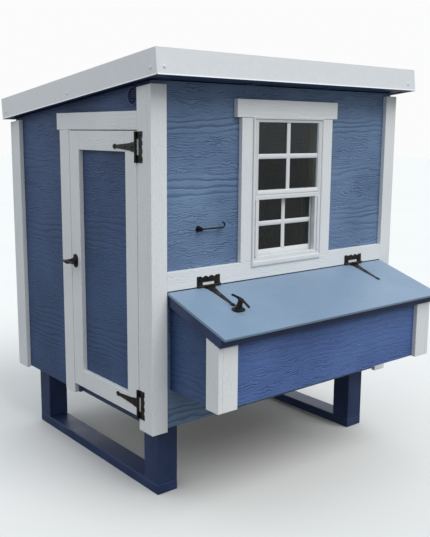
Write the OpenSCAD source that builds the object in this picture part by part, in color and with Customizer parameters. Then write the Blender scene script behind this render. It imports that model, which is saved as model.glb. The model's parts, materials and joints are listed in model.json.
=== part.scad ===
// Raised garden chicken coop: a sided timber cabin on two leg frames, with a
// keeper's door, an outside nest box with a sloping lid, a sliding window, a
// ramp door for the hens and a single-slope metal roof.
//
// House frame used by every module: X runs along the front wall from its left
// end, Y runs from the front wall to the back, Z is up from the ground.

/* [Body] */
// Width over the corner boards
body_w = 1250; // [1050:5:1600]
// Depth over the corner boards
body_d = 1058; // [860:2:1400]
// Underside of the body above the ground
stand_h = 264; // [200:2:420]
// Front wall, from the body's underside to the roof
wall_h = 1199; // [1170:1:1400]
// Roof fall towards the back, in degrees
roof_pitch = 6.2; // [3:0.1:8]
// Thickness of the siding panels
siding_t = 11; // [8:0.5:15]
// Thickness of the trim boards
trim_t = 18; // [14:0.5:24]
// Width of the trim boards
trim_w = 63.5; // [50:0.5:80]
// Side of the square framing timber
stud = 38; // [30:1:45]

/* [Stand] */
// Side of the square leg posts
leg_w = 87; // [70:1:110]
// Thickness of the flat plates under the legs
skid_t = 38; // [30:1:50]
// Inset of the leg frames from the side and front of the body
leg_inset = 67; // [50:1:100]

/* [Floor] */
// Thickness of the flat floor frame
floor_frame_t = 38; // [30:1:50]
// Thickness of the floor panel
floor_t = 12; // [9:1:20]

/* [Roof] */
// Height of the metal edge trim
roof_h = 85; // [70:1:110]
// Overhang at the front
roof_front = 74; // [50:1:120]
// Overhang at the back
roof_back = 20; // [10:1:60]
// Overhang at the sides
roof_side = 25; // [10:1:60]
// Depth of the rafters
rafter_h = 58; // [40:1:60]
// Thickness of the roof boarding
deck_t = 12; // [9:1:14]
// Thickness of the sheet metal
metal_t = 1.2; // [0.8:0.1:2]

/* [Keeper's door] */
// Width of the door
door_w = 458; // [380:2:560]
// Height of the door
door_h = 990; // [800:5:1020]
// Bottom of the door above the body's underside
door_z = 46; // [40:1:60]
// Width of the door's side and top boards
stile_w = 70; // [55:1:90]
// Gap round the door
door_gap = 3; // [2:0.5:5]
// Height of the door handle above the body's underside
door_handle_z = 544; // [400:2:700]
// Distance of the door handle from the free edge of the door
door_handle_in = 31; // [26:1:44]

/* [Window] */
// Width of the window unit
win_w = 365; // [300:5:440]
// Height of the window unit
win_h = 540; // [500:5:600]
// Width of the side casings
casing_w = 52; // [40:1:70]
// Width of the bars between the panes
muntin_w = 18; // [12:1:24]
// Meeting rail above the bottom of the window
sash_split = 262; // [240:1:290]

/* [Nest box] */
// Distance of the nest box front from the front of the corner boards
nest_d = 267; // [220:1:330]
// Bottom of the nest box above the body's underside
nest_z = 144; // [100:2:200]
// Back edge of the lid above the body's underside
lid_z = 498; // [470:1:520]
// Slope of the lid, in degrees
lid_slope = 17.6; // [10:0.1:22]
// Thickness of the lid's top panel
lid_t = 10; // [8:0.5:14]
// Depth of the frame under the lid
lid_frame_h = 35; // [25:1:45]
// How far the lid runs past the nest box front
lid_over = 38; // [30:1:60]
// Number of nests
nests = 4; // [2:1:5]
// Distance of the lid hinges from the middle of the lid
lid_hinge_x = 384; // [250:1:450]
// Distance of the lid handle from the hinge edge, down the slope
lid_handle_s = 175; // [150:1:200]

/* [Hens' ramp door] */
// Width of the hens' opening
pop_w = 290; // [240:5:340]
// Height of the hens' opening
pop_h = 430; // [380:5:460]
// Middle of the hens' opening, from the front of the body
pop_y = 620; // [560:5:660]
// Number of ramp cleats
cleats = 6; // [4:1:8]

/* [Hardware] */
// Length of the hinge knuckle line
hinge_len = 103; // [90:1:120]
// Length of the hinge strap
strap_len = 148; // [120:1:160]
// Thickness of the hinge plate
plate_t = 2; // [1.5:0.1:3]
// Radius of the hinge knuckles
knuckle_r = 4.5; // [4:0.1:5]
// Radius of the hinge pin
pin_r = 2.5; // [2:0.1:3]
// Length of the handle bar
bar_len = 95; // [70:1:110]
// Radius of the handle bar
bar_r = 5.5; // [4:0.1:7]
// Distance of the handle bar from the surface it stands on
bar_off = 40; // [32:1:50]
// Radius of the round vents
vent_r = 33; // [25:1:34]
// Length of the stay hook, pivot to curl
hook_len = 98; // [70:1:120]
// Height of the stay hook above the lid hinge line
hook_up = 200; // [170:1:240]

/* [Hidden] */

// Clearances
running = 0.06;        // radial, shaft in bore
loose = 0.8;           // radial, rod through wood
part_gap = 2;          // between a moving panel and what it closes on
lap = 10;              // door boards over the edge of the siding
butt = 0.2;            // between boards that meet in one group

// Wall planes, inwards from the outer face of the trim
in_siding = trim_t + siding_t;
in_stud = in_siding + stud;
right = body_w - trim_t;
corner_side = trim_t + trim_w;
wall_z = stand_h + 6;
roof_z = stand_h + wall_h;
floor_z = stand_h + 8;
floor_top = floor_z + floor_frame_t + floor_t;
board_drop = 14;       // corner boards stop this far under the roof

// Roof, in its own tilted frame: v down the slope, w square to it
v_front = -roof_front / cos(roof_pitch);
v_back = (body_d + roof_back) / cos(roof_pitch);
trim_lip = 4;          // kick-out of the metal edge trim
lip_h = 5;
rib_h = 5;
flange_w = 24;
screw_up = 26;
screw_r = 4.5;
washer_h = 1;
hex_head_h = 3.5;
roof_screw_len = 12;
front_screws = [29, body_w + 2 * roof_side - 45];
side_screws = [35, (v_back - v_front) / 2, v_back - v_front - 38];

// Keeper's door, in the left wall
door_y0 = corner_side + door_gap;
door_y1 = door_y0 + door_w;
door_z0 = stand_h + door_z;
door_z1 = door_z0 + door_h;
jamb_w = 72;
jamb_y = door_y1 + door_gap;
header_z = door_z1 + door_gap;
header_over = 21;
header_h = 62;
handle_y = door_y1 - door_handle_in;
handle_z = stand_h + door_handle_z;
door_knuckle_y = corner_side + door_gap / 2;
door_hinges_z = [door_z0 + 48, door_z1 - 53];
pawl_len = 42;
pawl_t = 4;
pawl_w = 18;
door_stud_y = handle_y + pawl_len + 6;

// Window, in the front wall
win_x0 = (body_w - win_w) / 2;
win_x1 = win_x0 + win_w;
band_z0 = stand_h + lid_z + part_gap;
band_z1 = band_z0 + trim_w + 2;
win_z0 = band_z1 - 20;
win_z1 = win_z0 + win_h;
win_proud = 6;         // frame stands in front of the casings
frame_side = 14;
frame_top = 8;
frame_bottom = 35;
frame_depth = 46;
stop_side = 35;        // lower side cover of the frame
sash_side = 14;
meeting_h = 34;
meeting_z = win_z0 + sash_split;
lower_y = 22;          // front face of the lower sash
sash_t = 13;
upper_y = 2;
sash_gap = 1.5;
glass_t = 3;
header_t = 20;
head_over = 24;

// Nest box
nest_x0 = trim_w + 6;
nest_x1 = body_w - nest_x0;
nest_panel_x0 = nest_x0 + trim_t;
nest_panel_x1 = nest_x1 - trim_t;
nest_z0 = stand_h + nest_z;
nest_in_x0 = nest_panel_x0 + siding_t;
nest_in_x1 = nest_panel_x1 - siding_t;
nest_in_y = -nest_d + trim_t + siding_t;
nest_floor_top = nest_z0 + 2 + floor_t;
nest_pitch = (nest_in_x1 - nest_in_x0 + siding_t) / nests;
nest_clear = nest_pitch - siding_t;
hole_w = nest_clear - 30;
hole_z0 = nest_floor_top + 50;
hole_h = 230;

// Lid, in its own tilted frame: s up the slope from the wall, n square to it
lid_top_z = stand_h + lid_z;
lid_len = (nest_d + lid_over) / cos(lid_slope);
lid_x0 = trim_w + 1;
lid_x1 = body_w - lid_x0;
lid_stack = lid_t + lid_frame_h;
lid_frame_x = nest_x0 - 1;
lid_frame_w = 36;
lid_frame_front = lid_len - 18;
lid_frame_back = 10;
lid_back = 1;
lid_handle_x = body_w / 2 - lid_hinge_x - 4;
rail_s = [-156, -118];
rail_t = 19;
lid_pawl_len = 60;
lid_pawl_n = lid_stack + part_gap + rail_t + 1.5;

// Hinges: the knuckle line stands this far off the two surfaces
hinge_off = knuckle_r + 1;
leaf_w = 35;
slot_w = 8;
centre_knuckle = 47;
knuckle_gap = 0.5;
lid_axis_z = lid_top_z + hinge_off * (1 - sin(lid_slope)) / cos(lid_slope);
lid_hinges_x = [body_w / 2 - lid_hinge_x, body_w / 2 + lid_hinge_x];
// Outline of half a strap: [distance from the knuckle line, half width]
strap_outline = [[0, 23.5], [11, 22.5], [16, 16.5], [22, 15.5], [30, 16], [36, 13], [116, 6.5],
    [124, 5.5], [130, 8.5], [138, 9], [144, 6], [148, 0]];
strap_screws_y = [26, 72, 137];
leaf_screws = [[-40, -23], [40, -23], [0, -24]];
scallop_x = 26;
scallop_r = 9;
scallop_out = 5;
screw_head_r = 4;
screw_head_h = 1.8;
screw_shank_r = 2;
screw_len = 14;
lid_screw_len = 9;

// Handles
rod_r = 4.5;
stem_r = 9;
rose_l = 52;
rose_w = 33;
rose_t = 3;
boss_r = 12.5;
boss_h = 8;
rose_screw = 19;

// Hens' ramp door, in the right wall
pop_z0 = floor_top + 3;
pop_z1 = pop_z0 + pop_h;
ramp_y0 = pop_y - pop_w / 2 - lap;
ramp_y1 = pop_y + pop_w / 2 + lap;
ramp_z0 = pop_z0 - lap;
ramp_z1 = pop_z1 + lap;
ramp_axis_z = ramp_z0 - door_gap / 2;
ramp_hinges_y = [pop_y - 78, pop_y + 78];
cleat_w = 18;
cleat_t = 11;
bolt_z = ramp_z1 - 58;
bolt_off = 9;
bolt_r = 4;
guide_t = 9;
keeper_gap = 1.2;
keeper_t = 3;
bolt_plate_y = ramp_y0 + 8;
bolt_plate_l = 86;
bolt_knob_r = 3;
keeper_y = ramp_y0 - door_gap - 18;

// Round vents and the stay hook
vent_y = corner_side + 49;
vent_z = roof_z - 49;
hook_r = 3;
curl_r = 9;
hook_x = body_w / 2 - lid_hinge_x - 33;
hook_z = lid_axis_z + hook_up;
hook_off = 16;

// Roosts
roost = 38;
roost_y = [body_d - 330, body_d - 150];
roost_z = [pop_z1 + 60, pop_z1 + 180];

// Origin: middle of the whole object's box, on the ground
reach_left = bar_off + bar_r;
reach_right = body_w + roof_side + trim_lip;
reach_front = -lid_len * cos(lid_slope);
reach_back = max(v_back * cos(roof_pitch) + roof_h * sin(roof_pitch),
    (v_back + trim_lip) * cos(roof_pitch) + lip_h * sin(roof_pitch));
origin = [(reach_right - reach_left) / 2, (reach_front + reach_back) / 2, 0];

siding_blue = "#4f6a90";
shade_blue = "#2c3b5c";
trim_white = "#dcdee0";
metal_white = "#d2d4d8";
iron_black = "#1c1b1a";
bare_pine = "#c9ab7c";

// ---- Helpers ----

function roof_at(y) = roof_z - tan(roof_pitch) * y;
function divider_x(i) = nest_in_x0 - siding_t + i * nest_pitch;
function door_spot(z) = [0, door_knuckle_y, z];

module house() translate(-origin) children();

module block(from, to) translate(from) cube(to - from);

// A (Y, Z) outline drawn out along X
module along_x(x0, x1) translate([x0, 0, 0]) rotate([90, 0, 90]) linear_extrude(x1 - x0) children();

// A block whose top follows the roof, a given drop under it
module under_roof(x0, x1, y0, y1, z0, drop = 0) along_x(x0, x1)
    polygon([[y0, z0], [y1, z0], [y1, roof_at(y1) - drop], [y0, roof_at(y0) - drop]]);

module roof_frame() translate([0, 0, roof_z]) rotate([-roof_pitch, 0, 0]) children();
module lid_frame_at() translate([0, 0, lid_top_z]) rotate([lid_slope, 0, 0]) children();

// A block whose top stays a given depth under the lid's top face
module under_lid(x0, x1, y0, y1, z0, depth) along_x(x0, x1) polygon([
    [y0, z0], [y1, z0],
    [y1, lid_top_z + tan(lid_slope) * y1 - depth / cos(lid_slope)],
    [y0, lid_top_z + tan(lid_slope) * y0 - depth / cos(lid_slope)]]);

// Hinge frames: X along the knuckle line, Y along the strap, Z off the surface
module at_door_hinges() for (z = door_hinges_z)
    translate([-hinge_off, door_knuckle_y, z]) rotate([0, -90, 0]) children();
module at_lid_hinges() for (x = lid_hinges_x)
    translate([x, -hinge_off, lid_axis_z]) rotate([lid_slope, 0, 0]) rotate([0, 0, 180]) children();
module at_ramp_hinges() for (y = ramp_hinges_y)
    translate([body_w + hinge_off, y, ramp_axis_z]) rotate([90, 0, 90]) children();

module leaf_plate() difference() {
    translate([-hinge_len / 2, -leaf_w, -hinge_off]) cube([hinge_len, leaf_w, plate_t]);
    translate([-centre_knuckle / 2 - 3, -slot_w - hinge_off, -hinge_off - 1])
        cube([centre_knuckle + 6, slot_w + hinge_off + 1, plate_t + 2]);
    for (x = [-scallop_x, 0, scallop_x]) translate([x, -leaf_w - scallop_out, -hinge_off - 1])
        cylinder(h = plate_t + 2, r = scallop_r, $fn = 40);
    for (p = leaf_screws) translate([p.x, p.y, -hinge_off - 1])
        cylinder(h = plate_t + 2, r = screw_shank_r + 0.2, $fn = 24);
}

module knuckle(x0, x1, bore) translate([x0, 0, 0]) rotate([0, 90, 0]) difference() {
    cylinder(h = x1 - x0, r = knuckle_r, $fn = 40);
    translate([0, 0, -1]) cylinder(h = x1 - x0 + 2, r = bore, $fn = 32);
}

// turn: angle between the leaf's own surface and the strap's surface
module hinge_leaf(turn = 0) rotate([turn, 0, 0]) difference() {
    union() {
        leaf_plate();
        for (s = [-1, 1]) translate([s * (hinge_len + centre_knuckle + 2 * knuckle_gap) / 4, 0, 0])
            rotate([0, 90, 0]) cylinder(h = (hinge_len - centre_knuckle) / 2 - knuckle_gap, r = knuckle_r,
                center = true, $fn = 40);
    }
    rotate([0, 90, 0]) cylinder(h = hinge_len + 2, r = pin_r, center = true, $fn = 32);
}

module hinge_pin() rotate([0, 90, 0]) cylinder(h = hinge_len, r = pin_r, center = true, $fn = 32);

module hinge_strap() difference() {
    union() {
        translate([0, 0, -hinge_off]) linear_extrude(plate_t) polygon(concat(
            [for (p = strap_outline) [p.y, p.x * strap_len / 148]],
            [for (i = [len(strap_outline) - 2 : -1 : 0])
                [-strap_outline[i].y, strap_outline[i].x * strap_len / 148]]));
        knuckle(-centre_knuckle / 2, centre_knuckle / 2, pin_r + running);
    }
    rotate([0, 90, 0]) cylinder(h = hinge_len, r = pin_r + running, center = true, $fn = 32);
    for (y = strap_screws_y) translate([0, y, -hinge_off - 1])
        cylinder(h = plate_t + 2, r = screw_shank_r + 0.2, $fn = 24);
}

// A screw whose head rests on a plate; Z is out of the surface
module screw(plate = plate_t, length = screw_len) {
    translate([0, 0, plate]) cylinder(h = screw_head_h, r = screw_head_r, $fn = 24);
    translate([0, 0, -length]) cylinder(h = length + plate, r = screw_shank_r, $fn = 20);
}

module strap_screws(length = screw_len) for (y = strap_screws_y)
    translate([0, y, -hinge_off]) screw(length = length);
module leaf_screws_at(turn = 0) rotate([turn, 0, 0])
    for (p = leaf_screws) translate([p.x, p.y, -hinge_off]) screw();

// Handle frames: Z off the surface, Y along the bar
module at_door_handle() translate([0, handle_y, handle_z]) rotate([0, -90, 0]) children();
module at_lid_handle() lid_frame_at() translate([lid_handle_x, -lid_handle_s, 0]) children();

module rose() difference() {
    union() {
        linear_extrude(rose_t) union() {
            for (s = [-1, 1]) translate([s * (rose_l - rose_w) / 2, 0]) circle(r = rose_w / 2, $fn = 48);
            square([rose_l - rose_w, rose_w], center = true);
        }
        cylinder(h = boss_h, r = boss_r, $fn = 48);
    }
    translate([0, 0, -1]) cylinder(h = boss_h + 2, r = rod_r + running, $fn = 40);
    for (s = [-1, 1]) translate([s * rose_screw, 0, -1])
        cylinder(h = rose_t + 2, r = screw_shank_r + 0.2, $fn = 24);
}

module rose_screws(length = screw_len) for (s = [-1, 1])
    translate([s * rose_screw, 0, 0]) screw(rose_t, length);

// T handle: a bar on a stem, with a rod through the panel to the pawl
module t_handle(rod_end) {
    translate([0, 0, bar_off]) rotate([90, 0, 0])
        cylinder(h = bar_len - 2 * bar_r, r = bar_r, center = true, $fn = 32);
    for (s = [-1, 1]) translate([0, s * (bar_len / 2 - bar_r), bar_off]) sphere(r = bar_r, $fn = 32);
    translate([0, 0, boss_h + 0.4]) cylinder(h = bar_off - boss_h - 0.4, r1 = stem_r, r2 = bar_r, $fn = 40);
    translate([0, 0, -rod_end]) cylinder(h = rod_end + bar_off, r = rod_r, $fn = 40);
}

// Flat pawl on the rod's end, pointing along +X
module pawl(length, depth) translate([0, 0, -depth - pawl_t]) linear_extrude(pawl_t) difference() {
    union() {
        circle(r = pawl_w / 2, $fn = 40);
        translate([0, -pawl_w / 2]) square([length - pawl_w / 2, pawl_w]);
        translate([length - pawl_w / 2, 0]) circle(r = pawl_w / 2, $fn = 40);
    }
    circle(r = rod_r, $fn = 40);
}

// Flat ring in the X-Z plane, with its own sill, head and side widths
module ring(x0, x1, z0, z1, y0, y1, side, sill, head) difference() {
    block([x0, y0, z0], [x1, y1, z1]);
    block([x0 + side, y0 - 1, z0 + sill], [x1 - side, y1 + 1, z1 - head]);
}

// Cross bars between the panes of a sash
module muntins(x0, x1, z0, z1, y0, y1) {
    block([(x0 + x1 - muntin_w) / 2, y0, z0], [(x0 + x1 + muntin_w) / 2, y1, z1]);
    block([x0, y0, (z0 + z1 - muntin_w) / 2], [x1, y1, (z0 + z1 + muntin_w) / 2]);
}

// ---- Stand and floor ----

module skid_plates() house() color(shade_blue)
    for (x = [leg_inset, body_w - leg_inset - leg_w])
        block([x, leg_inset, 0], [x + leg_w, body_d - leg_inset, skid_t]);

module legs() house() color(shade_blue)
    for (x = [leg_inset, body_w - leg_inset - leg_w], y = [leg_inset, body_d - leg_inset - leg_w])
        block([x, y, skid_t], [x + leg_w, y + leg_w, floor_z]);

module floor_frame() house() color(shade_blue) {
    top = floor_z + floor_frame_t;
    for (y = [in_siding, body_d - in_siding - leg_w])
        block([in_siding, y, floor_z], [body_w - in_siding, y + leg_w, top]);
    for (i = [0 : joists - 1]) {
        x = in_siding + i * (body_w - 2 * in_siding - leg_w) / (joists - 1);
        block([x, in_siding + leg_w + butt, floor_z], [x + leg_w, body_d - in_siding - leg_w - butt, top]);
    }
}
joists = 4;

module floor_panel() house() color(bare_pine)
    block([in_siding, in_siding, floor_top - floor_t], [body_w - in_siding, body_d - in_siding, floor_top]);

// ---- Walls ----

module wall_front() house() color(siding_blue) difference() {
    under_roof(trim_t, right, trim_t, in_siding, wall_z);
    block([win_x0 + frame_side - 6, 0, win_z0 + 12], [win_x1 - frame_side + 6, in_stud, win_z1 - 2]);
    for (i = [0 : nests - 1]) block([divider_x(i) + siding_t + (nest_clear - hole_w) / 2, 0, hole_z0],
        [divider_x(i + 1) - (nest_clear - hole_w) / 2, in_stud, hole_z0 + hole_h]);
}

module wall_back() house() color(siding_blue)
    under_roof(trim_t, right, body_d - in_siding, body_d - trim_t, wall_z);

module wall_left() house() color(siding_blue) difference() {
    under_roof(trim_t, in_siding, in_siding, body_d - in_siding, wall_z);
    block([0, door_y0 + lap - part_gap, wall_z - 1],
        [in_stud, door_y1 - lap + part_gap, door_z1 - lap + part_gap]);
    translate([0, vent_y, vent_z]) rotate([0, 90, 0]) cylinder(h = in_stud, r = vent_r - 5, $fn = 48);
}

module wall_right() house() color(siding_blue) difference() {
    under_roof(body_w - in_siding, right, in_siding, body_d - in_siding, wall_z);
    block([body_w - in_stud, pop_y - pop_w / 2, pop_z0], [body_w, pop_y + pop_w / 2, pop_z1]);
    translate([body_w - in_stud, vent_y, vent_z]) rotate([0, 90, 0])
        cylinder(h = in_stud, r = vent_r - 5, $fn = 48);
}

// Upright from a given height to the top plate, its outer face on the siding
module upright(x, y, z0 = floor_top) under_roof(x, x + stud, y, y + stud, z0, plate_drop + butt);
plate_drop = stud / cos(roof_pitch);

// Sloping or level top plate just under the roof
module top_plate(x0, x1, y0, y1) along_x(x0, x1) polygon([
    [y0, roof_at(y0) - plate_drop], [y1, roof_at(y1) - plate_drop], [y1, roof_at(y1)], [y0, roof_at(y0)]]);

module wall_studs() house() color(bare_pine) {
    side_x = [in_siding, body_w - in_stud];
    rail_z = win_z0 + 8;
    for (x = side_x, y = [in_siding, body_d - in_stud]) upright(x, y);
    upright(in_siding, door_stud_y);
    upright(body_w - in_stud, pop_y - pop_w / 2 - stud - part_gap);
    upright(body_w - in_stud, pop_y + pop_w / 2 + part_gap);
    upright((body_w - stud) / 2, body_d - in_stud);
    for (x = side_x) top_plate(x, x + stud, in_siding, body_d - in_siding);
    for (y = [in_siding, body_d - in_stud]) top_plate(in_stud + butt, body_w - in_stud - butt, y, y + stud);
    block([in_stud + butt, in_siding, rail_z - stud], [body_w - in_stud - butt, in_stud, rail_z]);
    for (x = [win_x0 - stud + 4, win_x1 - 4]) upright(x, in_siding, rail_z + butt);
    for (i = [0, 1], x = [in_stud + butt, body_w - in_stud - stud / 2 - butt])
        block([x, roost_y[i] - 60, roost_z[i] - stud],
            [x + stud / 2, roost_y[i] + roost + 60, roost_z[i]]);
}

module corner_boards() house() color(trim_white) for (x = [0, right]) {
    front_x = x == 0 ? 0 : body_w - trim_w;
    for (y = [0, body_d - trim_t])
        under_roof(front_x, front_x + trim_w, y, y + trim_t, stand_h, board_drop);
    under_roof(x, x + trim_t, trim_t + butt, corner_side, stand_h, board_drop);
    under_roof(x, x + trim_t, body_d - corner_side, body_d - trim_t - butt, stand_h, board_drop);
}

module nest_hinge_board() house() color(trim_white) difference() {
    block([trim_w, 0, band_z0], [body_w - trim_w, trim_t, band_z1]);
    block([win_x0, -1, win_z0], [win_x1, trim_t + 1, band_z1 + 1]);
}

module door_casing() house() color(trim_white) {
    block([0, corner_side, header_z], [trim_t, jamb_y + jamb_w + header_over, header_z + header_h]);
    block([0, jamb_y, stand_h + 5], [trim_t, jamb_y + jamb_w, header_z - butt]);
}

module window_casing() house() color(trim_white) {
    block([win_x0 - casing_w, 0, band_z1], [win_x0, trim_t, win_z1 - butt]);
    block([win_x1, 0, band_z1], [win_x1 + casing_w, trim_t, win_z1 - butt]);
    block([win_x0 - casing_w - head_over, trim_t - header_t, win_z1],
        [win_x1 + casing_w + head_over, trim_t, win_z1 + trim_w]);
}

module round_vents() house() color(siding_blue) for (s = [0, 1])
    translate([s * body_w, vent_y, vent_z]) mirror([s, 0, 0]) rotate([0, 90, 0]) round_vent();

// Louvred disc, outer face towards -Z, seated on the siding
module round_vent() translate([0, 0, trim_t]) difference() {
    union() {
        translate([0, 0, -3]) cylinder(h = 3, r = vent_r, $fn = 48);
        translate([0, 0, -3]) cylinder(h = siding_t, r = vent_r - 5.3, $fn = 48);
    }
    for (i = [-2 : 2]) translate([i * 9.5 - 2.5, -sqrt(26 * 26 - i * i * 90), -4])
        cube([5, 2 * sqrt(26 * 26 - i * i * 90), siding_t + 2]);
}

// ---- Roof ----

edge_x0 = -roof_side + metal_t;
edge_x1 = body_w + roof_side - metal_t;
edge_v0 = v_front + metal_t;
edge_v1 = v_back - metal_t;
rafter_n = 4;

module rafters() house() color(shade_blue) roof_frame() {
    block([edge_x0, edge_v0, 0], [edge_x1, edge_v0 + stud, rafter_h]);
    block([edge_x0, edge_v1 - stud / 2, 0], [edge_x1, edge_v1, rafter_h]);
    for (x = [edge_x0, edge_x1 - stud / 2])
        block([x, edge_v0 + stud + butt, 0], [x + stud / 2, edge_v1 - stud / 2 - butt, rafter_h]);
    for (i = [0 : rafter_n - 1])
        block([rafter_x(i), edge_v0 + stud + butt, 0.5],
            [rafter_x(i) + stud, edge_v1 - stud / 2 - butt, rafter_h]);
}
function rafter_x(i) = in_siding + i * (body_w - 2 * in_siding - stud) / (rafter_n - 1);

// Soffit strips between the rafters under the front overhang
module front_soffit() house() color(shade_blue) roof_frame() difference() {
    block([edge_x0 + stud / 2 + 1, edge_v0 + stud + 1, 3], [edge_x1 - stud / 2 - 1, trim_t, 12]);
    for (i = [0 : rafter_n - 1])
        block([rafter_x(i) - 0.5, v_front - 1, 2], [rafter_x(i) + stud + 0.5, trim_t + 1, 13]);
}

module roof_deck() house() color(bare_pine) roof_frame()
    block([edge_x0, edge_v0, rafter_h], [edge_x1, edge_v1, rafter_h + deck_t]);

module roof_sheet() house() color(metal_white) roof_frame() {
    w = rafter_h + deck_t;
    block([edge_x0 + 1, edge_v0 + 1, w], [edge_x1 - 1, edge_v1 - 1, w + metal_t]);
    ribs = 10;
    for (i = [0 : ribs - 1]) {
        x = edge_x0 + 40 + i * (edge_x1 - edge_x0 - 80) / (ribs - 1);
        translate([x, edge_v1 - 1, w + metal_t]) rotate([90, 0, 0])
            linear_extrude(edge_v1 - edge_v0 - 2) polygon([[-11, 0], [-5, rib_h], [5, rib_h], [11, 0]]);
    }
}

// Cross section of the edge trim, outer face on the line x = 0, metal at x < 0
module edge_section(h) polygon([
    [0, lip_h], [trim_lip, 0], [trim_lip - metal_t * 1.4, 0], [-metal_t, lip_h - 0.5],
    [-metal_t, h - metal_t], [-flange_w, h - metal_t], [-flange_w, h], [0, h]]);

// Side trims between two end trims, whose flanges are cut back at the corners
module roof_edge_trim() house() color(metal_white) roof_frame() {
    for (s = [0, 1]) translate([s * body_w, 0, 0]) mirror([1 - s, 0, 0])
        translate([roof_side, edge_v1 - butt, 0]) rotate([90, 0, 0])
            linear_extrude(edge_v1 - edge_v0 - 2 * butt) edge_section(roof_h);
    difference() {
        union() {
            translate([body_w + roof_side, v_front, 0]) rotate([90, 0, -90])
                linear_extrude(body_w + 2 * roof_side) edge_section(roof_h);
            translate([-roof_side, v_back, 0]) rotate([90, 0, 90])
                linear_extrude(body_w + 2 * roof_side) edge_section(roof_h);
        }
        for (x = [-roof_side - 1, body_w + roof_side - flange_w - 1])
            block([x, edge_v0, roof_h / 2], [x + flange_w + 2, edge_v1, roof_h + 1]);
    }
}

module hex_screw() {
    cylinder(h = washer_h, r = screw_r + 2, $fn = 32);
    cylinder(h = hex_head_h, r = screw_r, $fn = 6);
    translate([0, 0, -metal_t - roof_screw_len])
        cylinder(h = metal_t + roof_screw_len, r = screw_shank_r, $fn = 20);
}

module roof_trim_screws() house() color(metal_white) roof_frame() {
    for (v = side_screws) {
        translate([-roof_side, v_front + v, screw_up]) rotate([0, -90, 0]) hex_screw();
        translate([body_w + roof_side, v_front + v, screw_up]) rotate([0, 90, 0]) hex_screw();
    }
    for (x = front_screws) {
        translate([x - roof_side, v_front, screw_up]) rotate([90, 0, 0]) hex_screw();
        translate([x - roof_side, v_back, screw_up]) rotate([-90, 0, 0]) hex_screw();
    }
}

// ---- Hinge parts on the body ----

module hinge_leaves() house() color(iron_black) {
    at_door_hinges() hinge_leaf();
    at_lid_hinges() hinge_leaf(lid_turn);
    at_ramp_hinges() hinge_leaf();
}
lid_turn = -(90 - lid_slope);

module hinge_pins() house() color(iron_black) {
    at_door_hinges() hinge_pin();
    at_lid_hinges() hinge_pin();
    at_ramp_hinges() hinge_pin();
}

module hinge_leaf_screws() house() color(iron_black) {
    at_door_hinges() leaf_screws_at();
    at_lid_hinges() leaf_screws_at(lid_turn);
    at_ramp_hinges() leaf_screws_at();
}

// ---- Keeper's door ----

module door_boards() house() color(trim_white) difference() {
    union() {
        for (y = [door_y0, door_y1 - stile_w]) block([0, y, door_z0], [trim_t, y + stile_w, door_z1]);
        for (z = [door_z0, door_z1 - stile_w])
            block([0, door_y0 + stile_w + butt, z], [trim_t, door_y1 - stile_w - butt, z + stile_w]);
    }
    at_door_handle() translate([0, 0, -in_siding]) cylinder(h = in_siding + 1, r = rod_r + loose, $fn = 32);
}

module door_panel() house() color(siding_blue) difference() {
    block([trim_t, door_y0 + lap, door_z0 + 2], [in_siding, door_y1 - lap, door_z1 - lap]);
    at_door_handle() translate([0, 0, -in_stud]) cylinder(h = in_stud, r = rod_r + loose, $fn = 32);
}

module door_hinge_straps() house() color(iron_black) at_door_hinges() hinge_strap();

module door_screws() house() color(iron_black) {
    at_door_hinges() strap_screws();
    at_door_handle() rose_screws();
}

module door_rose() house() color(iron_black) at_door_handle() rose();

door_pawl_depth = in_siding + part_gap;

module door_t_handle() house() color(iron_black) at_door_handle() t_handle(door_pawl_depth + pawl_t);

module door_pawl() house() color(iron_black) at_door_handle() pawl(pawl_len, door_pawl_depth);

// ---- Nest box ----

module nest_floor() house() color(bare_pine)
    block([nest_in_x0, nest_in_y, nest_z0 + 2], [nest_in_x1, trim_t, nest_floor_top]);

module nest_sides() house() color(siding_blue) for (x = [nest_panel_x0, nest_in_x1])
    under_lid(x, x + siding_t, nest_in_y, trim_t, nest_z0 + 2, lid_stack + part_gap);

module nest_front() house() color(siding_blue)
    under_lid(nest_panel_x0, nest_panel_x1, nest_in_y - siding_t, nest_in_y, nest_z0 + 2,
        lid_stack + part_gap);

module nest_dividers() house() color(bare_pine) for (i = [1 : nests - 1]) difference() {
    under_lid(divider_x(i), divider_x(i) + siding_t, nest_in_y, trim_t, nest_floor_top,
        lid_stack + part_gap);
    lid_frame_at() block([divider_x(i) - 1, rail_s[0], -lid_stack - part_gap - rail_t],
        [divider_x(i) + siding_t + 1, rail_s[1], 0]);
}

module nest_corner_boards() house() color(trim_white) for (s = [0, 1])
    translate([s * body_w, 0, 0]) mirror([s, 0, 0]) {
        under_lid(nest_x0, nest_panel_x0, -nest_d, -nest_d + trim_w, nest_z0, lid_stack + part_gap);
        under_lid(nest_panel_x0 + butt, nest_panel_x0 + trim_w, -nest_d, -nest_d + trim_t, nest_z0,
            lid_stack + part_gap);
    }

module nest_latch_rail() house() color(bare_pine) lid_frame_at()
    block([nest_in_x0 + 5, rail_s[0], -lid_stack - part_gap - rail_t],
        [nest_in_x1 - 5, rail_s[1], -lid_stack - part_gap]);

// ---- Lid ----

module lid_panel() house() color("#8aa5c5") lid_frame_at() difference() {
    block([lid_x0, -lid_len, -lid_t], [lid_x1, -lid_back, 0]);
    translate([lid_handle_x, -lid_handle_s, -lid_t - 1])
        cylinder(h = lid_t + 2, r = rod_r + loose, $fn = 32);
}

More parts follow.
